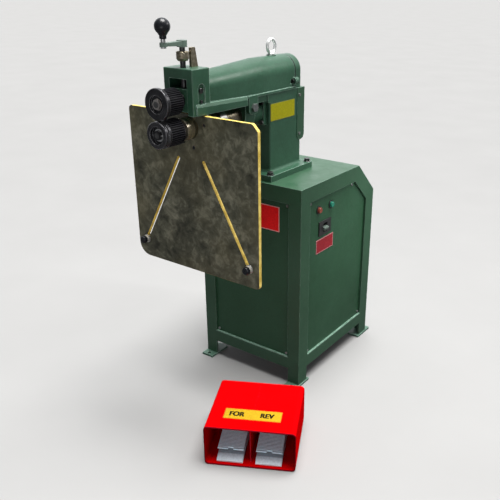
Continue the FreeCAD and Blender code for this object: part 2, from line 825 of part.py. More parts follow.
def upright_edges(half, front, back):
    """Chooser for the four upright corner edges of a box that is centred on X."""
    def chosen(point):
        return abs(abs(point.x) - half) < 0.01 and min(abs(point.y - front), abs(point.y - back)) < 0.01
    return chosen


def lower_arm():
    flange = box(-ARM_FLANGE_HALF, ARM_FLANGE_HALF, COL_FRONT - ARM_FLANGE_T, COL_FRONT,
                 LOWER_Z - ARM_FLANGE_HALF, LOWER_Z + ARM_FLANGE_HALF)
    face = COL_FRONT - ARM_FLANGE_T
    sleeve = rod_y(ARM_R, ARM_FRONT, LUG_BACK, 0, LOWER_Z)
    neck = rod_y(ARM_NECK_R, LUG_BACK, COL_FRONT, 0, LOWER_Z)
    head = box(-ARM_R, ARM_R, ARM_FRONT, LUG_BACK, LOWER_Z, ARM_TOP)
    socket = rod_y(TUBE_R, ARM_FRONT - 1, face, 0, LOWER_Z)
    passage = rod_y(BUSH_R, ARM_FRONT - 1, COL_FRONT + 1, 0, LOWER_Z)
    bolts = [rod_y(ARM_BOLT_R, face - 1, COL_FRONT + 1, x, z) for x, z in arm_bolt_points()]
    hangers = both_sides([rod_x(HANGER_BOLT_R, hanger_tip_x(), ARM_R + 1, HANGER_BOLT_Y, HANGER_BOLT_Z)])
    return fused([flange, sleeve, neck, head]).cut([socket, passage] + bolts + hangers)


def hanger_tip_x():
    """Where the hanger bolts end inside the lower arm."""
    return ARM_R - LUG_ROUND


def arm_tube():
    tube = rod_y(TUBE_R, TUBE_FRONT, COL_FRONT - ARM_FLANGE_T, 0, LOWER_Z)
    bore = rod_y(BUSH_R, TUBE_FRONT - 1, COL_FRONT, 0, LOWER_Z)
    screw = rod_z(TUBE_SCREW_R, LOWER_Z - TUBE_R - 1, LOWER_Z - BUSH_R, 0, TUBE_SCREW_Y)
    return tube.cut([bore, screw])


def ring_nut():
    nut = rod_y(RING_NUT_R, RING_NUT_Y[0], RING_NUT_Y[1], 0, LOWER_Z)
    nut = nut.cut(rod_y(TUBE_R, RING_NUT_Y[0] - 1, RING_NUT_Y[1] + 1, 0, LOWER_Z))
    depth = (RING_NUT_R - TUBE_R) / 2
    notch = box(-RING_NUT_NOTCH / 2, RING_NUT_NOTCH / 2, RING_NUT_Y[0] - 1, RING_NUT_Y[1] + 1,
                LOWER_Z + RING_NUT_R - depth, LOWER_Z + RING_NUT_R + 1)
    notches = []
    for step in range(RING_NUT_NOTCHES):
        turned = notch.copy()
        turned.rotate(V(0, 0, LOWER_Z), V(0, 1, 0), 360.0 * step / RING_NUT_NOTCHES)
        notches.append(turned)
    return nut.cut(notches)


def lower_bushes():
    bushes = []
    for start in (TUBE_FRONT + 1, COL_FRONT, COL_BACK - BUSH_L):
        stop = start + BUSH_L
        bore = rod_y(SHAFT_R + BUSH_GAP, start - 1, stop + 1, 0, LOWER_Z)
        bushes.append(rod_y(BUSH_R, start, stop, 0, LOWER_Z).cut(bore))
    return Part.makeCompound(bushes)


# Head casting

def arch_wire(y, radius, spring, bottom):
    """Upright sides from bottom to the height spring, with a half circle on top."""
    left = V(-radius, y, bottom)
    left_spring = V(-radius, y, spring)
    crown = V(0, y, spring + radius)
    right_spring = V(radius, y, spring)
    right = V(radius, y, bottom)
    return Part.Wire([
        Part.LineSegment(left, left_spring).toShape(),
        Part.Arc(left_spring, crown, right_spring).toShape(),
        Part.LineSegment(right_spring, right).toShape(),
        Part.LineSegment(right, left).toShape(),
    ])


def barrel(inset, bottom, back):
    """The tapering barrel from the box to back; inset thins it for the hollow inside."""
    middle_y = (BOX_BACK + ARCH_FULL_Y) / 2
    sections = [arch_wire(BOX_BACK, ARCH_FRONT_R - inset, ARCH_FRONT_Z, bottom),
                arch_wire(middle_y, ARCH_MIDDLE_R - inset, ARCH_MIDDLE_Z, bottom),
                arch_wire(ARCH_FULL_Y, ARCH_REAR_R - inset, ARCH_REAR_Z, bottom)]
    taper = outward(Part.makeLoft(sections, True, False))
    straight = prism(arch_wire(ARCH_FULL_Y, ARCH_REAR_R - inset, ARCH_REAR_Z, bottom),
                     V(0, back - ARCH_FULL_Y, 0))
    return taper.fuse(straight)


def front_flange():
    """The rim along the foot of the front part, with sloping shoulders that run down to the back."""
    sections = []
    for end, y in enumerate((FRONT_FLANGE_START, FRONT_FLANGE_END)):
        low, edge, ridge = FRONT_FLANGE_BOTTOM[end], FRONT_FLANGE_EDGE[end], FRONT_FLANGE_RIDGE[end]
        right = [(FRONT_FLANGE_HALF, low), (FRONT_FLANGE_HALF, edge), (BOX_HALF, ridge)]
        left = [(-x, z) for x, z in reversed(right)]
        sections.append(loop([V(x, y, z) for x, z in right + left]))
    return outward(Part.makeLoft(sections, True, True))


def hanger_lug():
    top = COL_TOP + REAR_FLANGE_T
    outline = [(LUG_FRONT, top, 0), (LUG_BACK, top, 0),
               (LUG_BACK, LUG_BOTTOM, LUG_ROUND), (LUG_FRONT, LUG_BOTTOM, LUG_ROUND)]
    return rounded_slab_x(outline, ARM_R, FRONT_FLANGE_HALF)


def gib_recess():
    front = RECESS_Y - RECESS_HALF
    back = RECESS_Y + RECESS_HALF
    outline = [(front, RECESS_BOTTOM, RECESS_FOOT_R), (back, RECESS_BOTTOM, RECESS_FOOT_R),
               (back, RECESS_TOP, RECESS_HEAD_R), (front, RECESS_TOP, RECESS_HEAD_R)]
    return rounded_slab_x(outline, BOX_HALF - RECESS_DEPTH, BOX_HALF + 1)


def rear_lug():
    """A block under the rim of the head, between the hanger and the column."""
    return box(*REAR_LUG_X, LUG_BACK, REAR_LUG_BACK, REAR_LUG_BOTTOM, COL_TOP + REAR_FLANGE_T)


def cap_ear_z():
    return ARCH_REAR_Z - CAP_EAR_DROP


def eye_seat_z():
    """Top of the pad that the lifting eye stands on."""
    return ARCH_REAR_Z + ARCH_REAR_R + EYE_PAD_RISE


def cap_ear(y0, y1):
    return rod_y(CAP_EAR_R, y0, y1, ARCH_REAR_R, cap_ear_z())


def head_casting():
    front = box(-BOX_HALF, BOX_HALF, BOX_FRONT, BOX_BACK, BOX_BOTTOM, BOX_TOP)

    def top_or_upright(point):
        on_top = abs(point.z - BOX_TOP) < 0.01
        corner = abs(abs(point.x) - BOX_HALF) < 0.01 and point.y < BOX_FRONT + 0.01
        return on_top or corner

    front = rounded_edges(front, BOX_ROUND, top_or_upright)
    shell = barrel(0, COL_TOP, HEAD_BACK)
    rear_flange = box(-REAR_FLANGE_HALF, REAR_FLANGE_HALF, FRONT_FLANGE_END, HEAD_BACK,
                      COL_TOP, COL_TOP + REAR_FLANGE_T)
    pad = rod_z(EYE_PAD_R, ARCH_REAR_Z + ARCH_REAR_R - HEAD_WALL, eye_seat_z(), 0, EYE_Y)
    web_front = HEAD_BACK - HEAD_WEB_T
    web_pad = box(-WEB_PAD_HALF, WEB_PAD_HALF, web_front, HEAD_BACK, COL_TOP - WEB_PAD_T, COL_TOP + 1)
    ear = cap_ear(cap_ear_front(), HEAD_BACK)
    lugs = both_sides([hanger_lug(), rear_lug(), ear])
    cast = fused([front, shell, front_flange(), rear_flange, pad, web_pad] + lugs)
    hollow = barrel(HEAD_WALL, FRONT_FLOOR, web_front)
    inner = ARCH_REAR_R - HEAD_WALL
    underside = box(-inner, inner, FRONT_FLANGE_END + HEAD_WALL, web_front, COL_TOP - 1, ARCH_REAR_Z)
    slot = box(-SLOT_HALF, SLOT_HALF, BOX_FRONT - 1, SLOT_BACK, BOX_BOTTOM - 1, SLOT_TOP)
    shaft_r = SHAFT_R + 2
    passage = [rod_y(shaft_r, SLOT_BACK - 1, BOX_BACK + 1, 0, UPPER_Z),
               rod_y(shaft_r, SLOT_BACK - 1, BOX_BACK + 1, 0, UPPER_Z + LIFT_TRAVEL),
               box(-shaft_r, shaft_r, SLOT_BACK - 1, BOX_BACK + 1, UPPER_Z, UPPER_Z + LIFT_TRAVEL)]
    screw = rod_z(LIFT_R + RUN_GAP, SLOT_TOP - 1, BOX_TOP + 1, 0, LIFT_Y)
    seat = rod_y(BALL_BUSH_R + RUN_GAP, web_front - 1, HEAD_BACK + 1, 0, UPPER_Z)
    eye = rod_z(EYE_SHANK_R, eye_seat_z() - EYE_SHANK_L, eye_seat_z() + 1, 0, EYE_Y)
    recesses = both_sides([gib_recess()])
    gibs = [rod_x(GIB_SHANK_R, SLOT_HALF - 1, BOX_HALF, RECESS_Y, z) for z, _ in GIB_SCREWS]
    hanger = rod_x(HANGER_BOLT_R, ARM_R - 1, FRONT_FLANGE_HALF + 1, HANGER_BOLT_Y, HANGER_BOLT_Z)
    cap_bolt = rod_y(CAP_BOLT_R, cap_ear_front() - 1, HEAD_BACK + 1, ARCH_REAR_R, cap_ear_z())
    pocket = rod_y(CAP_HEAD_R + RUN_GAP, cap_ear_front() - CAP_POCKET_L, cap_ear_front(),
                   ARCH_REAR_R, cap_ear_z())
    cuts = [hollow, underside, slot, screw, seat, eye] + passage + recesses
    return cast.cut(cuts + both_sides(gibs + [hanger, cap_bolt, pocket]))


def cap_ear_front():
    """Where the bolt of the cap bears on the ear of the barrel."""
    return HEAD_BACK - CAP_EAR_FRONT


def rear_cap():
    """Cap on the back of the barrel; a groove all round sets it off from the barrel."""
    back = HEAD_BACK + CAP_T
    start = HEAD_BACK + CAP_GROOVE_T
    cap = prism(arch_wire(start, ARCH_REAR_R - CAP_INSET, ARCH_REAR_Z, COL_TOP), V(0, back - start, 0))

    rim = []
    for edge in cap.Edges:
        at_back = all(abs(vertex.Point.y - back) < 0.01 for vertex in edge.Vertexes)
        if at_back and edge.CenterOfMass.z > COL_TOP + 1:
            rim.append(edge)
    cap = cap.makeFillet(CAP_ROUND, rim)
    neck = prism(arch_wire(HEAD_BACK, ARCH_REAR_R - CAP_GROOVE_DEPTH, ARCH_REAR_Z, COL_TOP),
                 V(0, CAP_GROOVE_T + 1, 0))
    ears = both_sides([cap_ear(HEAD_BACK, HEAD_BACK + CAP_EAR_BACK)])
    cap = fused([cap, neck] + ears)
    room = arch_wire(HEAD_BACK - 1, ARCH_REAR_R - CAP_WALL, ARCH_REAR_Z, COL_TOP + CAP_WALL)
    hollow = prism(room, V(0, CAP_T - CAP_WALL + 1, 0))
    bolt = rod_y(CAP_BOLT_R, HEAD_BACK - 1, HEAD_BACK + CAP_EAR_BACK + 1, ARCH_REAR_R, cap_ear_z())
    return cap.cut([hollow] + both_sides([bolt]))


def rear_lower_cover():
    side = COL_HALF + GUARD_T
    outline = [(GUARD_FRONT, COL_TOP, 0), (GUARD_BACK, COL_TOP, 0),
               (GUARD_BACK, GUARD_BOTTOM, GUARD_ROUND), (GUARD_FRONT, GUARD_BOTTOM, GUARD_ROUND)]
    shell = rounded_slab_x(outline, -side, side)
    room = [(GUARD_FRONT + GUARD_T, COL_TOP - GUARD_T, 0), (GUARD_BACK - GUARD_T, COL_TOP - GUARD_T, 0),
            (GUARD_BACK - GUARD_T, GUARD_BOTTOM + GUARD_T, GUARD_ROUND - GUARD_T),
            (GUARD_FRONT + GUARD_T, GUARD_BOTTOM + GUARD_T, GUARD_ROUND - GUARD_T)]
    hollow = rounded_slab_x(room, -COL_HALF, COL_HALF)
    post = box(-COL_HALF, COL_HALF, GUARD_FRONT - 1, COL_BACK, GUARD_BOTTOM - 1, COL_TOP + 1)
    holes = both_sides([rod_x(SCREW_R, COL_HALF - 1, side + 1, GUARD_SCREW_Y, z) for z in GUARD_SCREW_Z])
    return shell.cut([hollow, post] + holes)


def guard_screw(z):
    face = COL_HALF + GUARD_T
    shank = rod_x(SCREW_R, COL_HALF - COL_WALL, face, GUARD_SCREW_Y, z)
    return shank.fuse(rod_x(SCREW_HEAD_R, face, face + SCREW_HEAD_T, GUARD_SCREW_Y, z)).removeSplitter()


def eye_bolt():
    seat = eye_seat_z()
    ring = Part.makeTorus(EYE_RING_R, EYE_WIRE_R, V(0, EYE_Y, seat + EYE_RING_RISE), V(1, 0, 0))
    neck_top = seat + EYE_RING_RISE - EYE_RING_R
    collar_top = seat + EYE_COLLAR_T
    stem = turned_z([(0, seat - EYE_SHANK_L), (EYE_SHANK_R, seat - EYE_SHANK_L),
                     (EYE_SHANK_R, seat), (EYE_COLLAR_R, seat),
                     (EYE_COLLAR_R, collar_top - EYE_COLLAR_EDGE),
                     (EYE_COLLAR_R - EYE_COLLAR_EDGE, collar_top),
                     (EYE_SHANK_R, collar_top), (EYE_SHANK_R, neck_top), (0, neck_top)], 0, EYE_Y)
    return fused([ring, stem])


def casting_fasteners():
    base = []
    top = CAB_TOP + BASE_T
    for x, y in base_bolt_points():
        seat = top + BASE_WASHER_T
        washer = rod_z(BASE_WASHER_R, top, seat, x, y)
        head = hexagon_z(BASE_BOLT_FLATS, seat, seat + BASE_BOLT_HEAD, x, y)
        shank = rod_z(BASE_BOLT_R, CAB_TOP - CAB_WALL, top, x, y)
        base.append(fused([washer, head, shank]))
    arm = []
    for x, z in arm_bolt_points():
        front = COL_FRONT - ARM_FLANGE_T
        head = hexagon_y(ARM_BOLT_FLATS, front - ARM_BOLT_HEAD, front, x, z)
        arm.append(fused([head, rod_y(ARM_BOLT_R, front, COL_FRONT + COL_WALL, x, z)]))
    face = FRONT_FLANGE_HALF
    hanger = fused([hexagon_x(HANGER_FLATS, face, face + HANGER_HEAD, HANGER_BOLT_Y, HANGER_BOLT_Z),
                    rod_x(HANGER_BOLT_R, hanger_tip_x(), face, HANGER_BOLT_Y, HANGER_BOLT_Z)])
    seat = cap_ear_front()
    ear_z = cap_ear_z()
    ear = fused([rod_y(CAP_HEAD_R, seat - CAP_HEAD_T, seat, ARCH_REAR_R, ear_z),
                 rod_y(CAP_BOLT_R, seat, HEAD_BACK + CAP_EAR_BACK, ARCH_REAR_R, ear_z)])
    socket = hexagon_y(CAP_SOCKET_FLATS, seat - CAP_HEAD_T - 1, seat - CAP_HEAD_T + CAP_SOCKET_DEPTH,
                       ARCH_REAR_R, ear_z)
    ear = ear.cut(socket)
    gibs = []
    for z, head_r in GIB_SCREWS:
        floor = BOX_HALF - RECESS_DEPTH
        shank = rod_x(GIB_SHANK_R, SLOT_HALF, floor, RECESS_Y, z)
        gibs.append(fused([shank, rod_x(head_r, floor, BOX_HALF, RECESS_Y, z)]))
    low = LOWER_Z - TUBE_R
    tube = fused([rod_z(TUBE_SCREW_R, low, LOWER_Z - BUSH_R, 0, TUBE_SCREW_Y),
                  rod_z(TUBE_SCREW_HEAD_R, low - TUBE_SCREW_HEAD_T, low, 0, TUBE_SCREW_Y)])
    return Part.makeCompound(base + arm + both_sides([hanger, ear] + gibs) + [tube])


def stop_post():
    front, back = STOP_POST_Y
    outline = [(front, BOX_TOP, 0), (back, BOX_TOP, 0),
               (front + STOP_POST_TOP_L, STOP_POST_TOP, STOP_POST_ROUND),
               (front, STOP_POST_TOP, STOP_POST_ROUND)]
    return rounded_slab_x(outline, *STOP_POST_X)


# Lifting gear for the upper roll

def slide_block():
    half = SLOT_HALF - RUN_GAP
    body = box(-half, half, BOX_FRONT + 1, SLOT_BACK - 1, BLOCK_BOTTOM, BLOCK_TOP)
    bore = rod_y(BALL_BUSH_R + RUN_GAP, BOX_FRONT, SLOT_BACK, 0, UPPER_Z)
    seat = rod_z(LIFT_R + RUN_GAP, BLOCK_TOP - LIFT_SEAT, BLOCK_TOP + 1, 0, LIFT_Y)
    return body.cut([bore, seat])


def ball_bush(y):
    """A bush with a ball-shaped outside, so the shaft may tilt in its housing."""
    ball = Part.makeSphere(BALL_BUSH_R, V(0, y, UPPER_Z))
    length = rod_y(BALL_BUSH_R + 1, y - BALL_BUSH_L / 2, y + BALL_BUSH_L / 2, 0, UPPER_Z)
    bore = rod_y(SHAFT_R + BUSH_GAP, y - BALL_BUSH_L, y + BALL_BUSH_L, 0, UPPER_Z)
    return ball.common(length).cut(bore)


def front_bush_y():
    return (BOX_FRONT + SLOT_BACK) / 2


def upper_bushes():
    return Part.makeCompound([ball_bush(front_bush_y()), ball_bush(PIVOT_Y)])


def lift_screw():
    start = BLOCK_TOP - LIFT_SEAT + RUN_GAP
    low, high = CRANK_HUB_Z
    return turned_z([(0, start), (LIFT_R - LIFT_TIP, start), (LIFT_R, start + LIFT_TIP), (LIFT_R, low),
                     (CRANK_TOP_R, low), (CRANK_TOP_R, high), (0, high)], 0, LIFT_Y)


def crank_arm():
    eye_y = LIFT_Y - CRANK_L
    hub = rod_z(CRANK_HUB_R, CRANK_HUB_Z[0], CRANK_HUB_Z[1], 0, LIFT_Y)
    eye = rod_z(CRANK_EYE_R, CRANK_EYE_Z[0], CRANK_EYE_Z[1], 0, eye_y)
    root_z = (CRANK_HUB_Z[0] + CRANK_HUB_Z[1]) / 2
    tip_z = (CRANK_EYE_Z[0] + CRANK_EYE_Z[1]) / 2
    sections = []
    for y, z, width, height in ((LIFT_Y, root_z, CRANK_ROOT_W, CRANK_ROOT_T),
                                (eye_y, tip_z, CRANK_TIP_W, CRANK_TIP_T)):
        sections.append(loop([V(-width / 2, y, z - height / 2), V(width / 2, y, z - height / 2),
                              V(width / 2, y, z + height / 2), V(-width / 2, y, z + height / 2)]))
    arm = outward(Part.makeLoft(sections, True, True))
    journal = rod_z(CRANK_TOP_R, CRANK_HUB_Z[0] - 1, CRANK_HUB_Z[1] + 1, 0, LIFT_Y)
    pin = rod_z(PIN_R, CRANK_EYE_Z[0] - 1, CRANK_EYE_Z[1] + 1, 0, eye_y)
    return fused([hub, eye, arm]).cut([journal, pin])


def crank_pin():
    low = CRANK_EYE_Z[0]
    high = CRANK_EYE_Z[1]
    collar = KNOB_BOTTOM - RUN_GAP
    return turned_z([(0, low - PIN_HEAD_T), (PIN_HEAD_R, low - PIN_HEAD_T), (PIN_HEAD_R, low), (PIN_R, low),
                     (PIN_R, high), (PIN_COLLAR_R, high), (PIN_COLLAR_R, collar), (PIN_R, collar),
                     (PIN_R, PIN_TOP), (0, PIN_TOP)], 0, LIFT_Y - CRANK_L)


def crank_knob():
    y = LIFT_Y - CRANK_L
    neck = rod_z(KNOB_NECK_R, KNOB_BOTTOM, KNOB_BALL_Z, 0, y)
    neck = rounded_edges(neck, KNOB_EDGE, lambda point: abs(point.z - KNOB_BOTTOM) < 0.01)
    low, high = KNOB_CONE_Z
    cone = Part.makeCone(KNOB_NECK_R, KNOB_CONE_R, high - low, V(0, y, low))
    ball = Part.makeSphere(KNOB_BALL_R, V(0, y, KNOB_BALL_Z))
    bore = rod_z(PIN_R + RUN_GAP, KNOB_BOTTOM - 1, PIN_TOP + RUN_GAP, 0, y)
    return fused([neck, cone, ball]).cut(bore)


def stop_nut():
    low, high = STOP_NUT_Z
    bore = LIFT_R + RUN_GAP
    nut = turned_z([(bore, low), (STOP_NUT_FOOT_R, low), (STOP_NUT_R, low + STOP_NUT_TAPER),
                    (STOP_NUT_R, high - STOP_NUT_EDGE), (STOP_NUT_R - STOP_NUT_EDGE, high),
                    (bore, high)], 0, LIFT_Y)
    slot = box(0, STOP_NUT_R + 1, LIFT_Y - STOP_NUT_SLOT_W / 2, LIFT_Y + STOP_NUT_SLOT_W / 2,
               high - STOP_NUT_SLOT_DEPTH, high + 1)
    slots = []
    for step in range(STOP_NUT_SLOTS):
        turned = slot.copy()
        turned.rotate(V(0, LIFT_Y, 0), V(0, 0, 1), 360.0 * (step + 0.5) / STOP_NUT_SLOTS)
        slots.append(turned)
    return nut.cut(slots)


# Shafts, gears and rolls

def roll_shaft(floor, collar_r, end, z):
    """Shaft with a threaded stud through the roll nut; floor is where the washer lies on the disc."""
    front = floor - ROLL_WASHER_T - ROLL_NUT_T - ROLL_STUD_PROUD
    arbor = floor + ARBOR_SHORT
    shoulder = CRIMP_BACK
    rear = shoulder + COLLAR_T
    return turned_y([(0, front), (ROLL_STUD_R, front), (ROLL_STUD_R, arbor), (ARBOR_R, arbor),
                     (ARBOR_R, shoulder), (collar_r, shoulder), (collar_r, rear), (SHAFT_R, rear),
                     (SHAFT_R, end), (0, end)], 0, z)


def upper_recess_floor():
    return UPPER_DISC_FRONT + UPPER_RECESS_DEPTH


def lower_recess_floor():
    return LOWER_DISC_FRONT + LOWER_RECESS_DEPTH


def gear(z, first):
    wheel = toothed_wheel(GEAR_TEETH, GEAR_TIP_R, GEAR_ROOT_R, GEAR_TIP_HALF, GEAR_ROOT_HALF,
                          GEAR_FRONT, GEAR_FRONT + GEAR_W, z, first)
    return wheel.cut(rod_y(SHAFT_R, GEAR_FRONT - 1, GEAR_FRONT + GEAR_W + 1, 0, z))


def crimp_roll(radius, front, z, first):
    wheel = toothed_wheel(CRIMP_TEETH, radius, radius - CRIMP_TOOTH_H, CRIMP_TIP_HALF, CRIMP_ROOT_HALF,
                          front, CRIMP_BACK, z, first)
    return wheel.cut(rod_y(ARBOR_R, front - 1, CRIMP_BACK + 1, 0, z))


def upper_disc_roll():
    front = UPPER_DISC_FRONT
    floor = upper_recess_floor()
    return turned_y([(ARBOR_R, floor), (UPPER_RECESS_R, floor), (UPPER_RECESS_R, front),
                     (UPPER_DISC_R - DISC_EDGE, front), (UPPER_DISC_R, front + DISC_EDGE),
                     (UPPER_DISC_R, UPPER_CRIMP_FRONT), (ARBOR_R, UPPER_CRIMP_FRONT)], 0, UPPER_Z)


def lower_disc_roll():
    front = LOWER_DISC_FRONT
    floor = lower_recess_floor()
    return turned_y([(ARBOR_R, floor), (LOWER_RECESS_R, floor), (LOWER_RECESS_R, front),
                     (LOWER_DISC_R - DISC_EDGE, front), (LOWER_DISC_R, front + DISC_EDGE),
                     (LOWER_DISC_R, LOWER_GROOVE_FRONT), (LOWER_GROOVE_R, LOWER_GROOVE_FRONT),
                     (LOWER_GROOVE_R, LOWER_RIM_FRONT), (LOWER_RIM_R - DISC_EDGE, LOWER_RIM_FRONT),
                     (LOWER_RIM_R, LOWER_RIM_FRONT + DISC_EDGE), (LOWER_RIM_R, LOWER_CRIMP_FRONT),
                     (ARBOR_R, LOWER_CRIMP_FRONT)], 0, LOWER_Z)


def roll_nut(floor, washer_r, z):
    face = floor - ROLL_WASHER_T
    washer = rod_y(washer_r, face, floor, 0, z)
    nut = hexagon_y(ROLL_NUT_FLATS, face - ROLL_NUT_T, face, 0, z)
    chamfered = nut.common(rod_y(ROLL_NUT_ROUND_R, face - ROLL_NUT_T, face, 0, z))
    bore = rod_y(ROLL_STUD_R, face - ROLL_NUT_T - 1, floor + 1, 0, z)
    return fused([washer, chamfered]).cut(bore)


def sprocket(z, bore_r, hub_r, hub_t):
    front = CHAIN_Y - SPROCKET_T / 2
    back = CHAIN_Y + SPROCKET_T / 2
    wheel = toothed_wheel(SPROCKET_TEETH, SPROCKET_TIP_R, SPROCKET_ROOT_R, SPROCKET_TIP_HALF,
                          SPROCKET_ROOT_HALF, front, back, z, 90)
    hub = rod_y(hub_r, back, back + hub_t, 0, z)
    return fused([wheel, hub]).cut(rod_y(bore_r, front - 1, back + hub_t + 1, 0, z))


def chain_band(radius):
    """Outline of the chain loop at one distance from the middle of its wheels."""
    low = DRIVE_Z
    high = LOWER_Z
    return [(-radius, low - radius, radius), (radius, low - radius, radius),
            (radius, high + radius, radius), (-radius, high + radius, radius)]


def chain():
    """The whole loop as one piece; its rollers stop short of the two sprockets."""
    solids = []
    for y in (CHAIN_Y - LINK_IN - LINK_T, CHAIN_Y + LINK_IN):
        outer = rounded_slab_y(chain_band(CHAIN_R + LINK_HALF), y, y + LINK_T)
        inner = rounded_slab_y(chain_band(CHAIN_R - LINK_HALF), y - 1, y + LINK_T + 1)
        solids.append(outer.cut(inner))
    clear = math.sqrt((SPROCKET_TIP_R + ROLLER_R + RUN_GAP) ** 2 - CHAIN_R ** 2)
    count = 1 + int((LOWER_Z - DRIVE_Z - 2 * clear) / CHAIN_PITCH)
    start = (LOWER_Z + DRIVE_Z) / 2 - (count - 1) * CHAIN_PITCH / 2
    for step in range(count):
        z = start + step * CHAIN_PITCH
        for x in (-CHAIN_R, CHAIN_R):
            solids.append(rod_y(ROLLER_R, CHAIN_Y - LINK_IN, CHAIN_Y + LINK_IN, x, z))
            solids.append(rod_y(LINK_PIN_R, CHAIN_Y - LINK_PIN_OUT, CHAIN_Y + LINK_PIN_OUT, x, z))
    return fused(solids)


# Gearbox, motor and control box

def gearbox():
    back = GEARBOX_BACK
    low = TRAY_TOP + GEARBOX_FOOT_T
    body = box(-GEARBOX_HALF, GEARBOX_HALF, GEARBOX_FRONT, back, low - 1, GEARBOX_TOP)
    body = rounded_edges(body, GEARBOX_ROUND, upright_edges(GEARBOX_HALF, GEARBOX_FRONT, back))
    wide = GEARBOX_HALF + GEARBOX_FOOT_OUT
    foot = box(-wide, wide, GEARBOX_FRONT, back, TRAY_TOP, low)
    boss = rod_y(GEARBOX_BOSS_R, GEARBOX_FRONT - GEARBOX_BOSS_T, GEARBOX_FRONT, 0, DRIVE_Z)
    bore = rod_y(DRIVE_SHAFT_R + BUSH_GAP, GEARBOX_FRONT - GEARBOX_BOSS_T - 1,
                 GEARBOX_FRONT + DRIVE_SHAFT_SEAT, 0, DRIVE_Z)
    return fused([body, foot, boss]).cut(bore)


def output_shaft():
    front = CHAIN_Y - SPROCKET_T / 2 - DRIVE_SHAFT_PROUD
    return rod_y(DRIVE_SHAFT_R, front, GEARBOX_FRONT + DRIVE_SHAFT_SEAT - RUN_GAP, 0, DRIVE_Z)


def motor():
    start = GEARBOX_BACK
    stop = start + MOTOR_L
    drum = rod_y(MOTOR_R, start, stop, 0, DRIVE_Z)
    fin = box(-MOTOR_FIN_T / 2, MOTOR_FIN_T / 2, start + MOTOR_FIN_ENDS[0], stop - MOTOR_FIN_ENDS[1],
              DRIVE_Z + MOTOR_R - 1, DRIVE_Z + MOTOR_R + MOTOR_FIN_H)
    fins = []
    for step in range(MOTOR_FINS):
        turned = fin.copy()
        turned.rotate(V(0, 0, DRIVE_Z), V(0, 1, 0), 360.0 * (step + 0.5) / MOTOR_FINS)
        fins.append(turned)
    middle = (start + stop) / 2
    terminal = box(-TERMINAL_W / 2, TERMINAL_W / 2, middle - TERMINAL_L / 2, middle + TERMINAL_L / 2,
                   DRIVE_Z, DRIVE_Z + MOTOR_R + TERMINAL_H)
    cover_r = MOTOR_R + MOTOR_FIN_H
    spigot = rod_y(cover_r - FAN_COVER_T, stop, stop + MOTOR_SPIGOT, 0, DRIVE_Z)
    case = fused([drum, terminal, spigot] + fins)
    outer = rod_y(cover_r, stop, stop + FAN_COVER_L, 0, DRIVE_Z)
    inner = rod_y(cover_r - FAN_COVER_T, stop - 1, stop + FAN_COVER_L - FAN_COVER_T, 0, DRIVE_Z)
    return Part.makeCompound([case, outer.cut(inner)])


def control_box():
    wall = -(PANEL_FACE - PANEL_T)
    outer = box(wall, wall + CONTROL_X, *CONTROL_Y, *CONTROL_Z)
    inner = box(wall + CONTROL_WALL, wall + CONTROL_X - CONTROL_WALL,
                CONTROL_Y[0] + CONTROL_WALL, CONTROL_Y[1] - CONTROL_WALL,
                CONTROL_Z[0] + CONTROL_WALL, CONTROL_Z[1] - CONTROL_WALL)
    return outer.cut(inner)


def gland(length_in):
    """A cable gland along Y with its flange on the plane y = 0."""
    neck = rod_y(GLAND_R, -length_in, 0, 0, 0)
    flange = hexagon_y(GLAND_FLATS, 0, GLAND_FLANGE_T, 0, 0)
    dome = Part.makeCone(GLAND_R, GLAND_HOLE_R + GLAND_DOME_WALL, GLAND_OUT - GLAND_FLANGE_T,
                         V(0, GLAND_FLANGE_T, 0), V(0, 1, 0))
    hole = rod_y(GLAND_HOLE_R, -length_in - 1, GLAND_OUT + 1, 0, 0)
    return fused([neck, flange, dome]).cut(hole)


def cable_glands():
    cabinet = gland(CAB_WALL)
    cabinet.translate(V(CABINET_GLAND_X, CAB_D / 2, CABINET_GLAND_Z))
    hood = gland(HOOD_T)
    hood.translate(V(HOOD_GLAND_U, HOOD_D / 2, HOOD_GLAND_Z))
    return Part.makeCompound([cabinet, beside_cabinet(hood)])


# Gauge plate

def gauge_hole_r():
    return TUBE_R + RUN_GAP


def plate_screw_points():
    turns = [math.radians(turn) for turn in PLATE_SCREW_TURNS]
    reach = PLATE_SCREW_CIRCLE
    return [(reach * math.cos(turn), LOWER_Z + reach * math.sin(turn)) for turn in turns]


def guide_slot():
    along = V(GUIDE_END[0] - GUIDE_TOP[0], GUIDE_END[1] - GUIDE_TOP[1], 0).normalize()
    across = V(-along.y, along.x, 0) * (GUIDE_W / 2)
    reach = along * (GUIDE_W / 2)
    start = V(GUIDE_TOP[0], GUIDE_TOP[1], 0) - reach
    stop = V(GUIDE_END[0], GUIDE_END[1], 0) + reach
    corners = [start - across, stop - across, stop + across, start + across]
    outline = [(corner.x, corner.y, GUIDE_W / 2) for corner in corners]
    return rounded_slab_y(outline, PLATE_FRONT - 1, PLATE_FRONT + PLATE_T + 1)


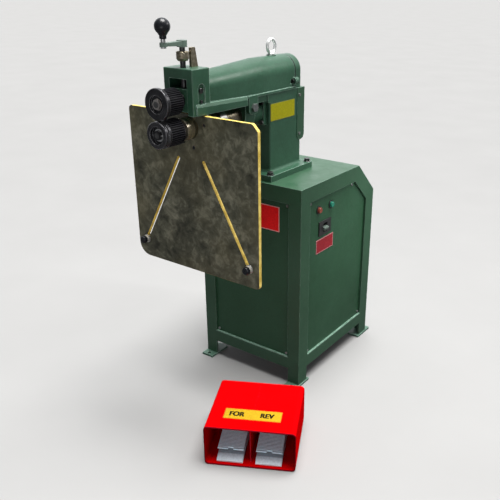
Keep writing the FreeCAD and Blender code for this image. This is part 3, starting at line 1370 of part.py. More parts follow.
def gauge_plate():
    cut = PLATE_TOP_RIGHT_CUT
    outline = [(-PLATE_HALF, PLATE_BOTTOM, PLATE_BOTTOM_LEFT_R),
               (PLATE_HALF, PLATE_BOTTOM, PLATE_BOTTOM_RIGHT_R),
               (PLATE_HALF, PLATE_TOP - cut, cut / 2), (PLATE_HALF - cut, PLATE_TOP, cut / 2),
               (-PLATE_HALF, PLATE_TOP, PLATE_TOP_LEFT_R)]
    plate = rounded_slab_y(outline, PLATE_FRONT, PLATE_FRONT + PLATE_T)
    cuts = [rod_y(gauge_hole_r(), PLATE_FRONT - 1, PLATE_FRONT + PLATE_T + 1, 0, LOWER_Z)]
    for x, z in plate_screw_points():
        cuts.append(rod_y(PLATE_SCREW_R, PLATE_FRONT - 1, PLATE_FRONT + PLATE_T + 1, x, z))
        cuts.append(rod_y(PLATE_SCREW_HEAD_R, PLATE_FRONT - 1, PLATE_FRONT + PLATE_SCREW_HEAD_T, x, z))
    return plate.cut(cuts + both_sides([guide_slot()]))


def gauge_flange():
    """Round flange behind the plate, cut off flat level with the top of the plate."""
    front = PLATE_FRONT + PLATE_T
    disc = rod_y(FLANGE_DISC_R, front, front + FLANGE_DISC_T, 0, LOWER_Z)
    disc = disc.cut(box(-FLANGE_DISC_R, FLANGE_DISC_R, front - 1, front + FLANGE_DISC_T + 1,
                        PLATE_TOP, LOWER_Z + FLANGE_DISC_R + 1))
    hub = rod_y(FLANGE_HUB_R, front, FLANGE_HUB_BACK, 0, LOWER_Z)
    bore = rod_y(gauge_hole_r(), front - 1, FLANGE_HUB_BACK + 1, 0, LOWER_Z)
    depth = PLATE_SCREW_L - PLATE_T
    screws = [rod_y(PLATE_SCREW_R, front - 1, front + depth, x, z) for x, z in plate_screw_points()]
    lock = rod_x(HUB_SCREW_R, TUBE_R - 1, FLANGE_HUB_R + 1, hub_screw_y(), LOWER_Z)
    return fused([disc, hub]).cut([bore, lock] + screws)


def hub_screw_y():
    return (PLATE_FRONT + PLATE_T + FLANGE_DISC_T + FLANGE_HUB_BACK) / 2


def plate_screws():
    screws = []
    for x, z in plate_screw_points():
        head = rod_y(PLATE_SCREW_HEAD_R, PLATE_FRONT, PLATE_FRONT + PLATE_SCREW_HEAD_T, x, z)
        shank = rod_y(PLATE_SCREW_R, PLATE_FRONT, PLATE_FRONT + PLATE_SCREW_L, x, z)
        socket = hexagon_y(PLATE_SOCKET_FLATS, PLATE_FRONT - 1, PLATE_FRONT + PLATE_SOCKET_DEPTH, x, z)
        screws.append(fused([head, shank]).cut(socket))
    y = hub_screw_y()
    shank = rod_x(HUB_SCREW_R, gauge_hole_r(), FLANGE_HUB_R, y, LOWER_Z)
    grip = rod_x(HUB_SCREW_GRIP_R, FLANGE_HUB_R, FLANGE_HUB_R + HUB_SCREW_L, y, LOWER_Z)
    return Part.makeCompound(screws + [fused([shank, grip])])


def clamp_stud(side):
    x = side * GUIDE_END[0]
    z = GUIDE_END[1]
    front = PLATE_FRONT
    back = PLATE_FRONT + PLATE_T
    nut_start = back + CLAMP_WASHER_T
    nut_stop = nut_start + CLAMP_NUT_T
    stud = rod_y(CLAMP_STUD_R, clamp_stud_front(), nut_stop + CLAMP_STUD_PROUD, x, z)
    front_washer = rod_y(CLAMP_WASHER_R, front - CLAMP_WASHER_T, front, x, z)
    back_washer = rod_y(CLAMP_WASHER_R, back, nut_start, x, z)
    nut = hexagon_y(CLAMP_NUT_FLATS, nut_start, nut_stop, x, z)
    bore = rod_y(CLAMP_STUD_R, front - CLAMP_KNOB_T, back + CLAMP_KNOB_T, x, z)
    return Part.makeCompound([stud, front_washer.cut(bore), back_washer.cut(bore), nut.cut(bore)])


def clamp_stud_front():
    return PLATE_FRONT - CLAMP_WASHER_T - CLAMP_KNOB_T / 2


def clamp_knob(side):
    x = side * GUIDE_END[0]
    z = GUIDE_END[1]
    back = PLATE_FRONT - CLAMP_WASHER_T - RUN_GAP
    front = back - CLAMP_KNOB_T
    knob = rod_y(CLAMP_KNOB_R, front, back, x, z)
    knob = rounded_edges(knob, CLAMP_KNOB_ROUND, lambda point: abs(point.y - front) < 0.01)
    return knob.cut(rod_y(CLAMP_STUD_R + RUN_GAP, clamp_stud_front() - RUN_GAP, back + 1, x, z))


# Controls and plates

def button(y):
    proud = PANEL_FACE + BEZEL_T + BUTTON_PROUD
    body = rod_x(BUTTON_R, proud - BUTTON_L, proud, y, BUTTON_Z)
    return rounded_edges(body, BUTTON_EDGE, lambda point: abs(point.x - proud) < 0.01)


def bezel(y):
    face = PANEL_FACE
    back = face - BEZEL_SLEEVE_L
    flange = rod_x(BEZEL_R, face, face + BEZEL_T, y, BUTTON_Z)
    sleeve = rod_x(BEZEL_SLEEVE_R, back, face, y, BUTTON_Z)
    bore = rod_x(BUTTON_R + RUN_GAP, face + BEZEL_T + BUTTON_PROUD - BUTTON_L - BUTTON_TRAVEL - 1,
                 face + BEZEL_T + 1, y, BUTTON_Z)
    return fused([flange, sleeve]).cut(bore)


def button_bezels():
    return Part.makeCompound([bezel(RED_BUTTON_Y), bezel(GREEN_BUTTON_Y)])


def switch_middle():
    return (SWITCH_Y[0] + SWITCH_Y[1]) / 2, (SWITCH_Z[0] + SWITCH_Z[1]) / 2


def switch_back_y():
    return SWITCH_Y[0] + SWITCH_BACK_INSET[0], SWITCH_Y[1] - SWITCH_BACK_INSET[0]


def switch_back_z():
    return SWITCH_Z[0] + SWITCH_BACK_INSET[1], SWITCH_Z[1] - SWITCH_BACK_INSET[1]


def switch_body():
    y, z = switch_middle()
    face = PANEL_FACE
    outer = face + SWITCH_T
    front = box(face, outer, *SWITCH_Y, *SWITCH_Z)
    back = box(face - SWITCH_BACK_L, face, *switch_back_y(), *switch_back_z())
    half_w = SWITCH_LEVER_W / 2 + RUN_GAP
    half_h = SWITCH_WINDOW_H / 2
    window = box(outer - SWITCH_WINDOW_DEPTH, outer + 1, y - half_w, y + half_w, z - half_h, z + half_h)
    seat = half_w + SWITCH_PIN_SEAT
    pin = rod_y(SWITCH_PIN_R + BUSH_GAP, y - seat, y + seat, outer - SWITCH_PIVOT_IN, z)
    return fused([front, back]).cut([window, pin])


def switch_lever():
    y, z = switch_middle()
    pivot_x = PANEL_FACE + SWITCH_T - SWITCH_PIVOT_IN
    half_w = SWITCH_LEVER_W / 2
    half_h = SWITCH_LEVER_H / 2
    tip = PANEL_FACE + SWITCH_T + SWITCH_LEVER_PROUD
    paddle = slab_y([(pivot_x, z - SWITCH_BARREL_R), (tip, z - half_h), (tip, z + half_h),
                     (pivot_x, z + SWITCH_BARREL_R)], y - half_w, y + half_w)
    boss = rod_y(SWITCH_BARREL_R, y - half_w, y + half_w, pivot_x, z)
    seat = half_w + SWITCH_PIN_SEAT
    pin = rod_y(SWITCH_PIN_R, y - seat, y + seat, pivot_x, z)
    lever = fused([paddle, boss, pin])
    lever.rotate(V(pivot_x, y, z), V(0, 1, 0), SWITCH_SWING)
    return lever


def label_plates():
    side = box(PANEL_FACE, PANEL_FACE + LABEL_T, *SIDE_LABEL_Y, *SIDE_LABEL_Z)
    front = box(*FRONT_LABEL_X, FRONT_PANEL_FACE - LABEL_T, FRONT_PANEL_FACE, *FRONT_LABEL_Z)
    post = box(COL_HALF, COL_HALF + LABEL_T, *COLUMN_LABEL_Y, *COLUMN_LABEL_Z)
    hood = box(*GUARD_LABEL_U, *GUARD_LABEL_V, HOOD_H, HOOD_H + LABEL_T / 2)
    return Part.makeCompound([side, front, post, beside_cabinet(hood)])


# Foot switch

def beside_cabinet(shape):
    """Turn a shape drawn along the foot switch's own axes and set it down beside the cabinet."""
    moved = shape.copy()
    moved.rotate(V(0, 0, 0), V(0, 0, 1), SWITCH_YAW)
    moved.translate(V(SWITCH_AT[0], SWITCH_AT[1], 0))
    return moved


def hood_outline(inset):
    half = HOOD_W / 2 - inset
    radius = HOOD_ROUND - inset
    return [(-half, inset, radius), (half, inset, radius),
            (half, HOOD_H - inset, radius), (-half, HOOD_H - inset, radius)]


def foot_guard():
    front = -HOOD_D / 2
    back = HOOD_D / 2
    shell = rounded_slab_y(hood_outline(0), front, back)
    hollow = rounded_slab_y(hood_outline(HOOD_T), front - 1, back - HOOD_T)
    divider = box(DIVIDER_U - HOOD_T / 2, DIVIDER_U + HOOD_T / 2, front + DIVIDER_START, back - HOOD_T / 2,
                  HOOD_T / 2, HOOD_H - HOOD_T / 2)
    cable = rod_y(GLAND_R, back - 2 * HOOD_T, back + 1, HOOD_GLAND_U, HOOD_GLAND_Z)
    return beside_cabinet(fused([shell.cut(hollow), divider]).cut(cable))


def pedal_base(u):
    half = PEDAL_W / 2
    front, back = PEDAL_BASE_V
    top = HOOD_T + PEDAL_BASE_T
    block = slab_x([(front, HOOD_T), (back, HOOD_T), (back, top), (front + APRON_L, top),
                    (front, HOOD_T + APRON_LIP)], u - half, u + half)
    lugs = []
    for side in (-1, 1):
        middle = u + side * HINGE_LUG_U
        outline = [(HINGE_V - HINGE_LUG_HALF, top - 1, 0), (HINGE_V + HINGE_LUG_HALF, top - 1, 0),
                   (HINGE_V + HINGE_LUG_HALF, HINGE_Z + HINGE_LUG_HALF, HINGE_LUG_HALF - 1),
                   (HINGE_V - HINGE_LUG_HALF, HINGE_Z + HINGE_LUG_HALF, HINGE_LUG_HALF - 1)]
        lugs.append(rounded_slab_x(outline, middle - HINGE_LUG_T / 2, middle + HINGE_LUG_T / 2))
    pin_hole = rod_x(HINGE_PIN_R, u - half, u + half, HINGE_V, HINGE_Z)
    return fused([block] + lugs).cut(pin_hole)


def pedal_pin(u):
    half = PEDAL_W / 2
    return rod_x(HINGE_PIN_R, u - half, u + half, HINGE_V, HINGE_Z)


def pedal_spring(u):
    outer = rod_x(SPRING_R, u - SPRING_L / 2, u + SPRING_L / 2, HINGE_V, HINGE_Z)
    return outer.cut(rod_x(HINGE_PIN_R, u - SPRING_L, u + SPRING_L, HINGE_V, HINGE_Z))


def pedal_bases():
    solids = []
    for u in PEDAL_U:
        solids += [pedal_base(u), pedal_pin(u), pedal_spring(u)]
    return Part.makeCompound([beside_cabinet(solid) for solid in solids])


def pedal(u):
    """A ribbed pedal plate, drawn level and then tilted up from its front edge."""
    half = PEDAL_W / 2
    outline = [(0, -PEDAL_T), (PEDAL_L, -PEDAL_T), (PEDAL_L, 0)]
    for rib in reversed(range(RIB_COUNT)):
        start = RIB_START + rib * RIB_PITCH
        outline += [(start + RIB_W, 0), (start + RIB_W, RIB_H), (start, RIB_H), (start, 0)]
    outline.append((0, 0))
    plate = slab_x(outline, u - half, u + half)
    notch = box(u - NOTCH_W / 2, u + NOTCH_W / 2, -1, NOTCH_L, -PEDAL_T - 1, 1)
    plate = plate.cut(notch)
    plate.rotate(V(0, 0, 0), V(1, 0, 0), PEDAL_SLOPE)
    plate.translate(V(0, PEDAL_FRONT_V, PEDAL_FRONT_Z))
    rise = math.tan(math.radians(PEDAL_SLOPE))
    under = PEDAL_FRONT_Z - PEDAL_T
    skirt_front = PEDAL_FRONT_V + SKIRT_START
    skirt_back = HINGE_V + HINGE_LUG_HALF
    front_z = under + rise * SKIRT_START
    skirts = []
    for side in (-1, 1):
        outer = u + side * half
        inner = outer - side * SKIRT_T
        xs = sorted((outer, inner))
        outline = [(skirt_front, front_z - SKIRT_DROP), (skirt_back, HINGE_Z - HINGE_LUG_HALF),
                   (skirt_back, under + rise * (skirt_back - PEDAL_FRONT_V)), (skirt_front, front_z)]
        skirts.append(slab_x(outline, xs[0], xs[1]))
    hole = rod_x(HINGE_PIN_R + BUSH_GAP, u - half - 1, u + half + 1, HINGE_V, HINGE_Z)
    return beside_cabinet(fused([plate] + skirts).cut(hole))


NODES = {
    "cabinet_frame": cabinet_frame,
    "foot_plates": foot_plates,
    "front_panel": front_panel,
    "side_panels": side_panels,
    "rear_panel": rear_panel,
    "base_tray": base_tray,
    "cover_screws": cover_screws,
    "gearbox": gearbox,
    "motor": motor,
    "output_shaft": output_shaft,
    "drive_sprocket": lambda: sprocket(DRIVE_Z, DRIVE_SHAFT_R, DRIVE_HUB_R, DRIVE_HUB_T),
    "driven_sprocket": lambda: sprocket(LOWER_Z, SHAFT_R, DRIVE_HUB_R, DRIVEN_HUB_T),
    "chain": chain,
    "control_box": control_box,
    "cable_glands": cable_glands,
    "column": column,
    "casting_fasteners": casting_fasteners,
    "lower_arm": lower_arm,
    "arm_tube": arm_tube,
    "ring_nut": ring_nut,
    "lower_bushes": lower_bushes,
    "head_casting": head_casting,
    "rear_cap": rear_cap,
    "rear_lower_cover": rear_lower_cover,
    "eye_bolt": eye_bolt,
    "stop_post": stop_post,
    "slide_block": slide_block,
    "upper_bushes": upper_bushes,
    "lift_screw": lift_screw,
    "crank_arm": crank_arm,
    "crank_pin": crank_pin,
    "crank_knob": crank_knob,
    "stop_nut": stop_nut,
    "upper_shaft": lambda: roll_shaft(upper_recess_floor(), UPPER_COLLAR_R, UPPER_SHAFT_END, UPPER_Z),
    "lower_shaft": lambda: roll_shaft(lower_recess_floor(), LOWER_COLLAR_R, LOWER_SHAFT_END, LOWER_Z),
    "upper_gear": lambda: gear(UPPER_Z, -90.0),
    "lower_gear": lambda: gear(LOWER_Z, 90.0 + 180.0 / GEAR_TEETH),
    "upper_crimp_roll": lambda: crimp_roll(UPPER_CRIMP_R, UPPER_CRIMP_FRONT, UPPER_Z, -90.0),
    "lower_crimp_roll": lambda: crimp_roll(LOWER_CRIMP_R, LOWER_CRIMP_FRONT, LOWER_Z,
                                           90.0 + 180.0 / CRIMP_TEETH),
    "upper_disc_roll": upper_disc_roll,
    "lower_disc_roll": lower_disc_roll,
    "upper_roll_nut": lambda: roll_nut(upper_recess_floor(), UPPER_WASHER_R, UPPER_Z),
    "lower_roll_nut": lambda: roll_nut(lower_recess_floor(), LOWER_WASHER_R, LOWER_Z),
    "gauge_plate": gauge_plate,
    "gauge_flange": gauge_flange,
    "plate_screws": plate_screws,
    "clamp_stud_left": lambda: clamp_stud(-1),
    "clamp_stud_right": lambda: clamp_stud(1),
    "clamp_knob_left": lambda: clamp_knob(-1),
    "clamp_knob_right": lambda: clamp_knob(1),
    "label_plates": label_plates,
    "button_bezels": button_bezels,
    "red_button": lambda: button(RED_BUTTON_Y),
    "green_button": lambda: button(GREEN_BUTTON_Y),
    "switch_body": switch_body,
    "switch_lever": switch_lever,
    "foot_guard": foot_guard,
    "pedal_bases": pedal_bases,
    "forward_pedal": lambda: pedal(PEDAL_U[0]),
    "reverse_pedal": lambda: pedal(PEDAL_U[1]),
}

os.makedirs("parts", exist_ok=True)
for name, make in NODES.items():
    shape = make()
    shape.exportStep("parts/" + name + ".step")
    print(name, len(shape.Solids), "solids", round(shape.Volume / 1000, 1), "cm3", shape.isValid())
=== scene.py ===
import math

import bmesh
import bpy
from mathutils import Matrix, Vector


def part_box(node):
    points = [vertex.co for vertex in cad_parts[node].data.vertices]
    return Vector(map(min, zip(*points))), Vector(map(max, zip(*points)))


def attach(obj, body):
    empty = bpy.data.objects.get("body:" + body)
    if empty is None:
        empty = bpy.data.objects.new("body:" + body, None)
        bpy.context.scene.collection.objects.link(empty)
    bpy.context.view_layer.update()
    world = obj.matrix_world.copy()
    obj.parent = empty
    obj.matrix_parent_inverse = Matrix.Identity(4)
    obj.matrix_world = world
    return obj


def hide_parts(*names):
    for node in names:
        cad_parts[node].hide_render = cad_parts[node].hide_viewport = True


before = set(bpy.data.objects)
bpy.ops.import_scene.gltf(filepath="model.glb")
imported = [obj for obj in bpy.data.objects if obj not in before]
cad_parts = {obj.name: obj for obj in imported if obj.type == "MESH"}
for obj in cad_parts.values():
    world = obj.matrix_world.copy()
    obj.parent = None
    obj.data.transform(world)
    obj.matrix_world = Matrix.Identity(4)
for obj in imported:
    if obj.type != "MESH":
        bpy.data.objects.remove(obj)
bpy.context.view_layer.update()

# Places on the machine, in metres: the axes of the rolls, and where the paint and the metal change and where
# painted light and shade are laid
UPPER_AXIS_Z = (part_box("upper_disc_roll")[0].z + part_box("upper_disc_roll")[1].z) / 2
LOWER_AXIS_Z = (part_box("lower_disc_roll")[0].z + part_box("lower_disc_roll")[1].z) / 2
HANGER_BOLT_Y = -0.272
HANGER_HALF = 0.02
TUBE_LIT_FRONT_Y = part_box("gauge_plate")[0].y - 0.009
LEDGE_Z = 0.1035
LEDGE_HALF = 0.0024
OPENING_HALF_X = 0.159
OPENING_HALF_Y = 0.183
CAP_GROOVE_Y = -0.0493
CAP_GROOVE_HALF = 0.0032
COLUMN_TOP_Z = 1.0
UPPER_TIP_R = 0.0355
LOWER_TIP_R = 0.0365
TIP_DEPTH = 0.0012
# Where the bright collar of a clamp knob starts, as a share of the knob's length from its front
COLLAR_START = 0.60
# How fine the marks of turning are, as a scale of the noise
TURNED_SCALE = 2600.0

# The foot guard: its middle on the floor, its own two level directions, its top, how far along
# HOOD_V its front edge lies, and how deep the painted shade on its front lip is
HOOD_AT = Vector((0.2565, -0.5391, 0.0))
HOOD_YAW = math.radians(27.58)
HOOD_U = Vector((math.cos(HOOD_YAW), math.sin(HOOD_YAW), 0.0))
HOOD_V = Vector((-math.sin(HOOD_YAW), math.cos(HOOD_YAW), 0.0))
HOOD_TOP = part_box("foot_guard")[1].z
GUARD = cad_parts["foot_guard"]
HOOD_FRONT = min((GUARD.matrix_world @ vertex.co).dot(HOOD_V) for vertex in GUARD.data.vertices)
HOOD_LIP_T = 0.0042


# Node materials

class Finish:
    """One node material being built: a principled shader and the nodes that feed it."""

    def __init__(self, name, metallic=0.0, specular=0.5):
        self.material = bpy.data.materials.new(name)
        self.material.use_nodes = True
        self.tree = self.material.node_tree
        self.shader = next(n for n in self.tree.nodes if n.type == "BSDF_PRINCIPLED")
        self.set("Metallic", metallic)
        self.set("Specular IOR Level", specular)
        self.coordinate = self.node("ShaderNodeTexCoord")

    def set(self, socket, value):
        self.shader.inputs[socket].default_value = value

    def feed(self, socket, output):
        self.tree.links.new(output, self.shader.inputs[socket])

    def node(self, kind, inputs=(), **settings):
        made = self.tree.nodes.new(kind)
        for key, value in settings.items():
            setattr(made, key, value)
        for key, value in dict(inputs).items():
            if isinstance(value, bpy.types.NodeSocket):
                self.tree.links.new(value, made.inputs[key])
            else:
                made.inputs[key].default_value = value
        return made

    def scaled(self, scale):
        """Object coordinates, each multiplied by its share of scale."""
        return self.node("ShaderNodeMapping", {"Vector": self.coordinate.outputs["Object"],
                                               "Scale": scale}).outputs[0]

    def noise(self, scale, detail=4.0, rough=0.55, vector=None, distortion=0.0):
        vector = vector or self.coordinate.outputs["Object"]
        made = self.node("ShaderNodeTexNoise", {"Vector": vector, "Scale": scale, "Detail": detail,
                                                "Roughness": rough, "Distortion": distortion})
        return made.outputs["Fac"]

    def ramp(self, factor, stops):
        """A smooth change through (position, grey or colour) stops."""
        made = self.node("ShaderNodeValToRGB", {"Fac": factor})
        elements = made.color_ramp.elements
        while len(elements) < len(stops):
            elements.new(0.5)
        for element, (position, value) in zip(elements, stops):
            element.position = position
            shade = (value, value, value) if isinstance(value, (int, float)) else tuple(value)
            element.color = (*shade, 1.0)
        return made.outputs["Color"]

    def math(self, operation, a, b=0.0, clamp=False):
        made = self.node("ShaderNodeMath", {0: a, 1: b}, operation=operation, use_clamp=clamp)
        return made.outputs[0]

    def blend(self, factor, a, b, mode="MIX"):
        made = self.node("ShaderNodeMix", data_type="RGBA", blend_type=mode)
        for index, value in ((0, factor), (6, a), (7, b)):
            if isinstance(value, bpy.types.NodeSocket):
                self.tree.links.new(value, made.inputs[index])
            elif index == 0:
                made.inputs[index].default_value = value
            else:
                made.inputs[index].default_value = (*value[:3], 1.0)
        return made.outputs[2]

    def part(self, axis, vector=None):
        """One of X, Y or Z of a vector, the object coordinate by default."""
        split = self.node("ShaderNodeSeparateXYZ", {0: vector or self.coordinate.outputs["Object"]})
        return split.outputs[axis]

    def near(self, axis, middle, half):
        """1 where the object coordinate on that axis is within half of middle."""
        away = self.math("ABSOLUTE", self.math("SUBTRACT", self.part(axis), middle))
        return self.math("LESS_THAN", away, half)

    def radius(self, z):
        """Distance from the line along Y at height z over the middle of the machine."""
        across = self.part(0)
        up = self.math("SUBTRACT", self.part(2), z)
        squares = self.math("ADD", self.math("MULTIPLY", across, across), self.math("MULTIPLY", up, up))
        return self.math("SQRT", squares)

    def turning(self, z):
        """Fine rings and lines left by turning about the axis at height z."""
        ring = self.node("ShaderNodeCombineXYZ", {0: self.radius(z), 1: self.part(1)}).outputs[0]
        return self.noise(TURNED_SCALE, detail=2.0, vector=ring)

    def edges(self, size, gain=6.0):
        """(edge mask, rounded normal) for edges of that size in metres, where the materials put wear, scuffs
        and painted highlight.
        """
        rounded = self.node("ShaderNodeBevel", {"Radius": size}, samples=6)
        geometry = self.node("ShaderNodeNewGeometry")
        match = self.node("ShaderNodeVectorMath", {0: rounded.outputs[0], 1: geometry.outputs["Normal"]},
                          operation="DOT_PRODUCT")
        mask = self.math("MULTIPLY", self.math("SUBTRACT", 1.0, match.outputs["Value"]), gain, clamp=True)
        return mask, rounded.outputs[0]

    def bump(self, height, strength, distance, normal=None):
        made = self.node("ShaderNodeBump", {"Height": height, "Strength": strength, "Distance": distance})
        if normal is not None:
            self.tree.links.new(normal, made.inputs["Normal"])
        return made.outputs[0]


def paint(name, colour, light, edge=None, grain=160.0, depth=0.0002, strength=0.3, rough=(0.34, 0.5),
          edge_size=0.0014, edge_gain=6.0, specular=0.28, mark=None, mark_colour=(0, 0, 0)):
    """Sprayed paint: cloudy colour, fine grain, lighter edges that are partly wear of the paint and partly
    painted highlight, and where mark says, another colour, used below for a painted highlight and for painted
    shade.
    """
    finish = Finish(name, specular=specular)
    cloud = finish.noise(5.0, detail=5.0)
    fine = finish.noise(grain, detail=3.0, rough=0.6)
    colour = finish.ramp(cloud, [(0.32, colour), (0.72, light)])
    speck = finish.ramp(finish.noise(grain * 0.6, detail=2.0), [(0.3, 0.86), (0.7, 1.08)])
    colour = finish.blend(1.0, colour, speck, mode="MULTIPLY")
    mask, rounded = finish.edges(edge_size, gain=edge_gain)
    # Lighter edges: partly wear of the paint, partly painted highlight
    if edge is not None:
        patchy = finish.ramp(finish.noise(60.0, detail=3.0), [(0.3, 0.25), (0.65, 1.0)])
        colour = finish.blend(finish.math("MULTIPLY", mask, patchy), colour, edge)
    if mark is not None:
        colour = finish.blend(mark(finish), colour, mark_colour)
    finish.feed("Base Color", colour)
    finish.feed("Roughness", finish.ramp(finish.noise(22.0, detail=4.0), [(0.3, rough[0]), (0.7, rough[1])]))
    finish.feed("Normal", finish.bump(fine, strength, depth, rounded))
    return finish.material


def ledge_highlight(finish):
    """Painted highlight along the edge of the lower rails under the inset panels, on the front and on the
    sides.
    """
    opening = finish.math("MAXIMUM", finish.near(0, 0.0, OPENING_HALF_X), finish.near(1, 0.0, OPENING_HALF_Y))
    patchy = finish.ramp(finish.noise(60.0, detail=3.0), [(0.3, 0.45), (0.65, 0.95)])
    level = finish.near(2, LEDGE_Z, LEDGE_HALF)
    return finish.math("MULTIPLY", finish.math("MULTIPLY", opening, patchy), level)


def cap_groove_shade(finish):
    """Painted shade in the groove between the barrel and its rear cap."""
    high = finish.math("GREATER_THAN", finish.part(2), COLUMN_TOP_Z)
    return finish.math("MULTIPLY", high, finish.near(1, CAP_GROOVE_Y, CAP_GROOVE_HALF))


def teeth_material(name, z, tip):
    """Blackened teeth: rubbed tips at the radius tip, lighter partly as painted highlight, and near-black
    gaps below them, which are painted shade.
    """
    finish = Finish(name, specular=0.07)
    out = finish.math("SUBTRACT", finish.radius(z), tip - TIP_DEPTH)
    rubbed = finish.math("MULTIPLY", finish.math("GREATER_THAN", out, 0.0),
                         finish.ramp(finish.noise(70.0, detail=3.0), [(0.3, 0.6), (0.7, 1.0)]))
    # Near-black gaps are painted shade; the lighter rubbed tips are partly painted highlight
    finish.feed("Base Color", finish.blend(rubbed, (0.0008, 0.0008, 0.0011), (0.024, 0.024, 0.028)))
    grain = finish.noise(400.0, detail=3.0)
    finish.feed("Roughness", finish.ramp(grain, [(0.3, 0.34), (0.7, 0.5)]))
    _, rounded = finish.edges(0.0004)
    finish.feed("Normal", finish.bump(grain, 0.1, 0.00005, rounded))
    return finish.material


def hood_material():
    """Bright red paint, with painted shade on the front lip of the guard and a paler painted highlight along
    its other edges.
    """
    finish = Finish("hood_red", specular=0.0)
    cloud = finish.noise(5.0, detail=5.0)
    red = finish.ramp(cloud, [(0.32, (0.40, 0.0004, 0.0008)), (0.72, (0.46, 0.0006, 0.0014))])
    mask, rounded = finish.edges(0.0034, gain=10.0)
    # Paler edges: painted highlight
    red = finish.blend(mask, red, (0.62, 0.018, 0.040))
    depth = finish.node("ShaderNodeVectorMath", {0: finish.coordinate.outputs["Object"], 1: HOOD_V},
                        operation="DOT_PRODUCT").outputs["Value"]
    # The darker band on the front lip is painted shade
    lip = finish.math("LESS_THAN", depth, HOOD_FRONT + HOOD_LIP_T)
    finish.feed("Base Color", finish.blend(lip, red, (0.12, 0.0020, 0.0055)))
    finish.feed("Roughness", finish.ramp(finish.noise(22.0, detail=4.0), [(0.3, 0.4), (0.7, 0.5)]))
    finish.feed("Normal", finish.bump(finish.noise(500.0, detail=3.0, rough=0.6), 0.12, 0.0001, rounded))
    return finish.material


def ringed_material(name, z, band, bright, dark):
    """A turned washer and nut: bright between the two radii of band, blackened inside and outside it."""
    finish = Finish(name, metallic=1.0)
    radius = finish.radius(z)
    ring = finish.math("MULTIPLY", finish.math("GREATER_THAN", radius, band[0]),
                       finish.math("LESS_THAN", radius, band[1]))
    turned = finish.node("ShaderNodeCombineXYZ", {0: radius}).outputs[0]
    marks = finish.noise(TURNED_SCALE, detail=2.0, vector=turned)
    patchy = finish.ramp(finish.noise(120.0, detail=4.0), [(0.3, 0.45), (0.7, 1.0)])
    finish.feed("Base Color", finish.blend(finish.math("MULTIPLY", ring, patchy), dark, bright))
    finish.feed("Roughness", finish.ramp(marks, [(0.3, 0.30), (0.7, 0.46)]))
    _, rounded = finish.edges(0.0008)
    finish.feed("Normal", finish.bump(marks, 0.12, 0.00005, rounded))
    return finish.material


def clamp_material():
    """Black knob with a bright collar next to the plate."""
    finish = Finish("clamp_knob_black", specular=0.4)
    low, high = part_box("clamp_knob_right")
    collar = finish.math("GREATER_THAN", finish.part(1), low.y + COLLAR_START * (high.y - low.y))
    cloud = finish.noise(30.0, detail=3.0)
    black = finish.ramp(cloud, [(0.3, (0.003, 0.004, 0.006)), (0.75, (0.009, 0.010, 0.013))])
    finish.feed("Base Color", finish.blend(collar, black, (0.62, 0.60, 0.54)))
    finish.feed("Metallic", finish.math("MULTIPLY", collar, 0.5))
    finish.feed("Roughness", finish.ramp(finish.noise(120.0, detail=3.0), [(0.3, 0.24), (0.7, 0.34)]))
    _, rounded = finish.edges(0.0008)
    finish.feed("Normal", finish.bump(finish.noise(900.0, detail=2.0), 0.08, 0.00006, rounded))
    return finish.material


def tube_material():
    """Bare turned tube, duller and browner close to the plate; in front of the plate it is painted much
    brighter, as painted light.
    """
    finish = Finish("tube_steel", metallic=1.0)
    marks = finish.turning(LOWER_AXIS_Z)
    cloud = finish.noise(40.0, detail=4.0)
    bare = finish.ramp(cloud, [(0.3, (0.24, 0.205, 0.145)), (0.75, (0.50, 0.45, 0.34))])
    # In front of the plate: painted light, a much brighter colour
    wear_and_painted_light = finish.math("LESS_THAN", finish.part(1), TUBE_LIT_FRONT_Y)
    finish.feed("Base Color", finish.blend(wear_and_painted_light, bare, (0.90, 0.80, 0.62)))
    finish.feed("Roughness", finish.ramp(marks, [(0.3, 0.22), (0.7, 0.4)]))
    _, rounded = finish.edges(0.0006)
    finish.feed("Normal", finish.bump(marks, 0.12, 0.00005, rounded))
    return finish.material


def turned_metal(name, colour, light, z, rough=(0.25, 0.4), metallic=1.0, edge=None, edge_size=0.0006):
    """Metal turned about the axis at height z: fine rings on its faces and lines round its barrel, and where
    edge is given, lighter edges as painted highlight.
    """
    finish = Finish(name, metallic=metallic)
    marks = finish.turning(z)
    cloud = finish.noise(40.0, detail=4.0)
    base = finish.ramp(cloud, [(0.3, colour), (0.75, light)])
    mask, rounded = finish.edges(edge_size)
    if edge is not None:
        base = finish.blend(mask, base, edge)
    finish.feed("Base Color", base)
    finish.feed("Roughness", finish.ramp(marks, [(0.3, rough[0]), (0.7, rough[1])]))
    finish.feed("Normal", finish.bump(marks, 0.12, 0.00005, rounded))
    return finish.material


def plain_metal(name, colour, light, rough=(0.28, 0.45), metallic=1.0, scale=90.0, stretch=(1, 1, 1),
                edge=None, strength=0.1):
    """Rolled, plated or cast metal with soft patches and a stretched grain, and where edge is given, lighter
    edges as painted highlight.
    """
    finish = Finish(name, metallic=metallic)
    grain = finish.noise(scale * 6, detail=3.0, vector=finish.scaled(stretch))
    cloud = finish.noise(scale, detail=4.0)
    base = finish.ramp(cloud, [(0.3, colour), (0.75, light)])
    mask, rounded = finish.edges(0.0006)
    if edge is not None:
        base = finish.blend(mask, base, edge)
    finish.feed("Base Color", base)
    finish.feed("Roughness", finish.ramp(grain, [(0.3, rough[0]), (0.7, rough[1])]))
    finish.feed("Normal", finish.bump(grain, strength, 0.00008, rounded))
    return finish.material


def moulded(name, colour, light, rough=(0.2, 0.35), specular=0.5):
    """Moulded plastic with faint flow marks."""
    finish = Finish(name, specular=specular)
    cloud = finish.noise(30.0, detail=3.0)
    finish.feed("Base Color", finish.ramp(cloud, [(0.3, colour), (0.75, light)]))
    finish.feed("Roughness", finish.ramp(finish.noise(120.0, detail=3.0), [(0.3, rough[0]), (0.7, rough[1])]))
    _, rounded = finish.edges(0.0008)
    finish.feed("Normal", finish.bump(finish.noise(900.0, detail=2.0), 0.08, 0.00006, rounded))
    return finish.material


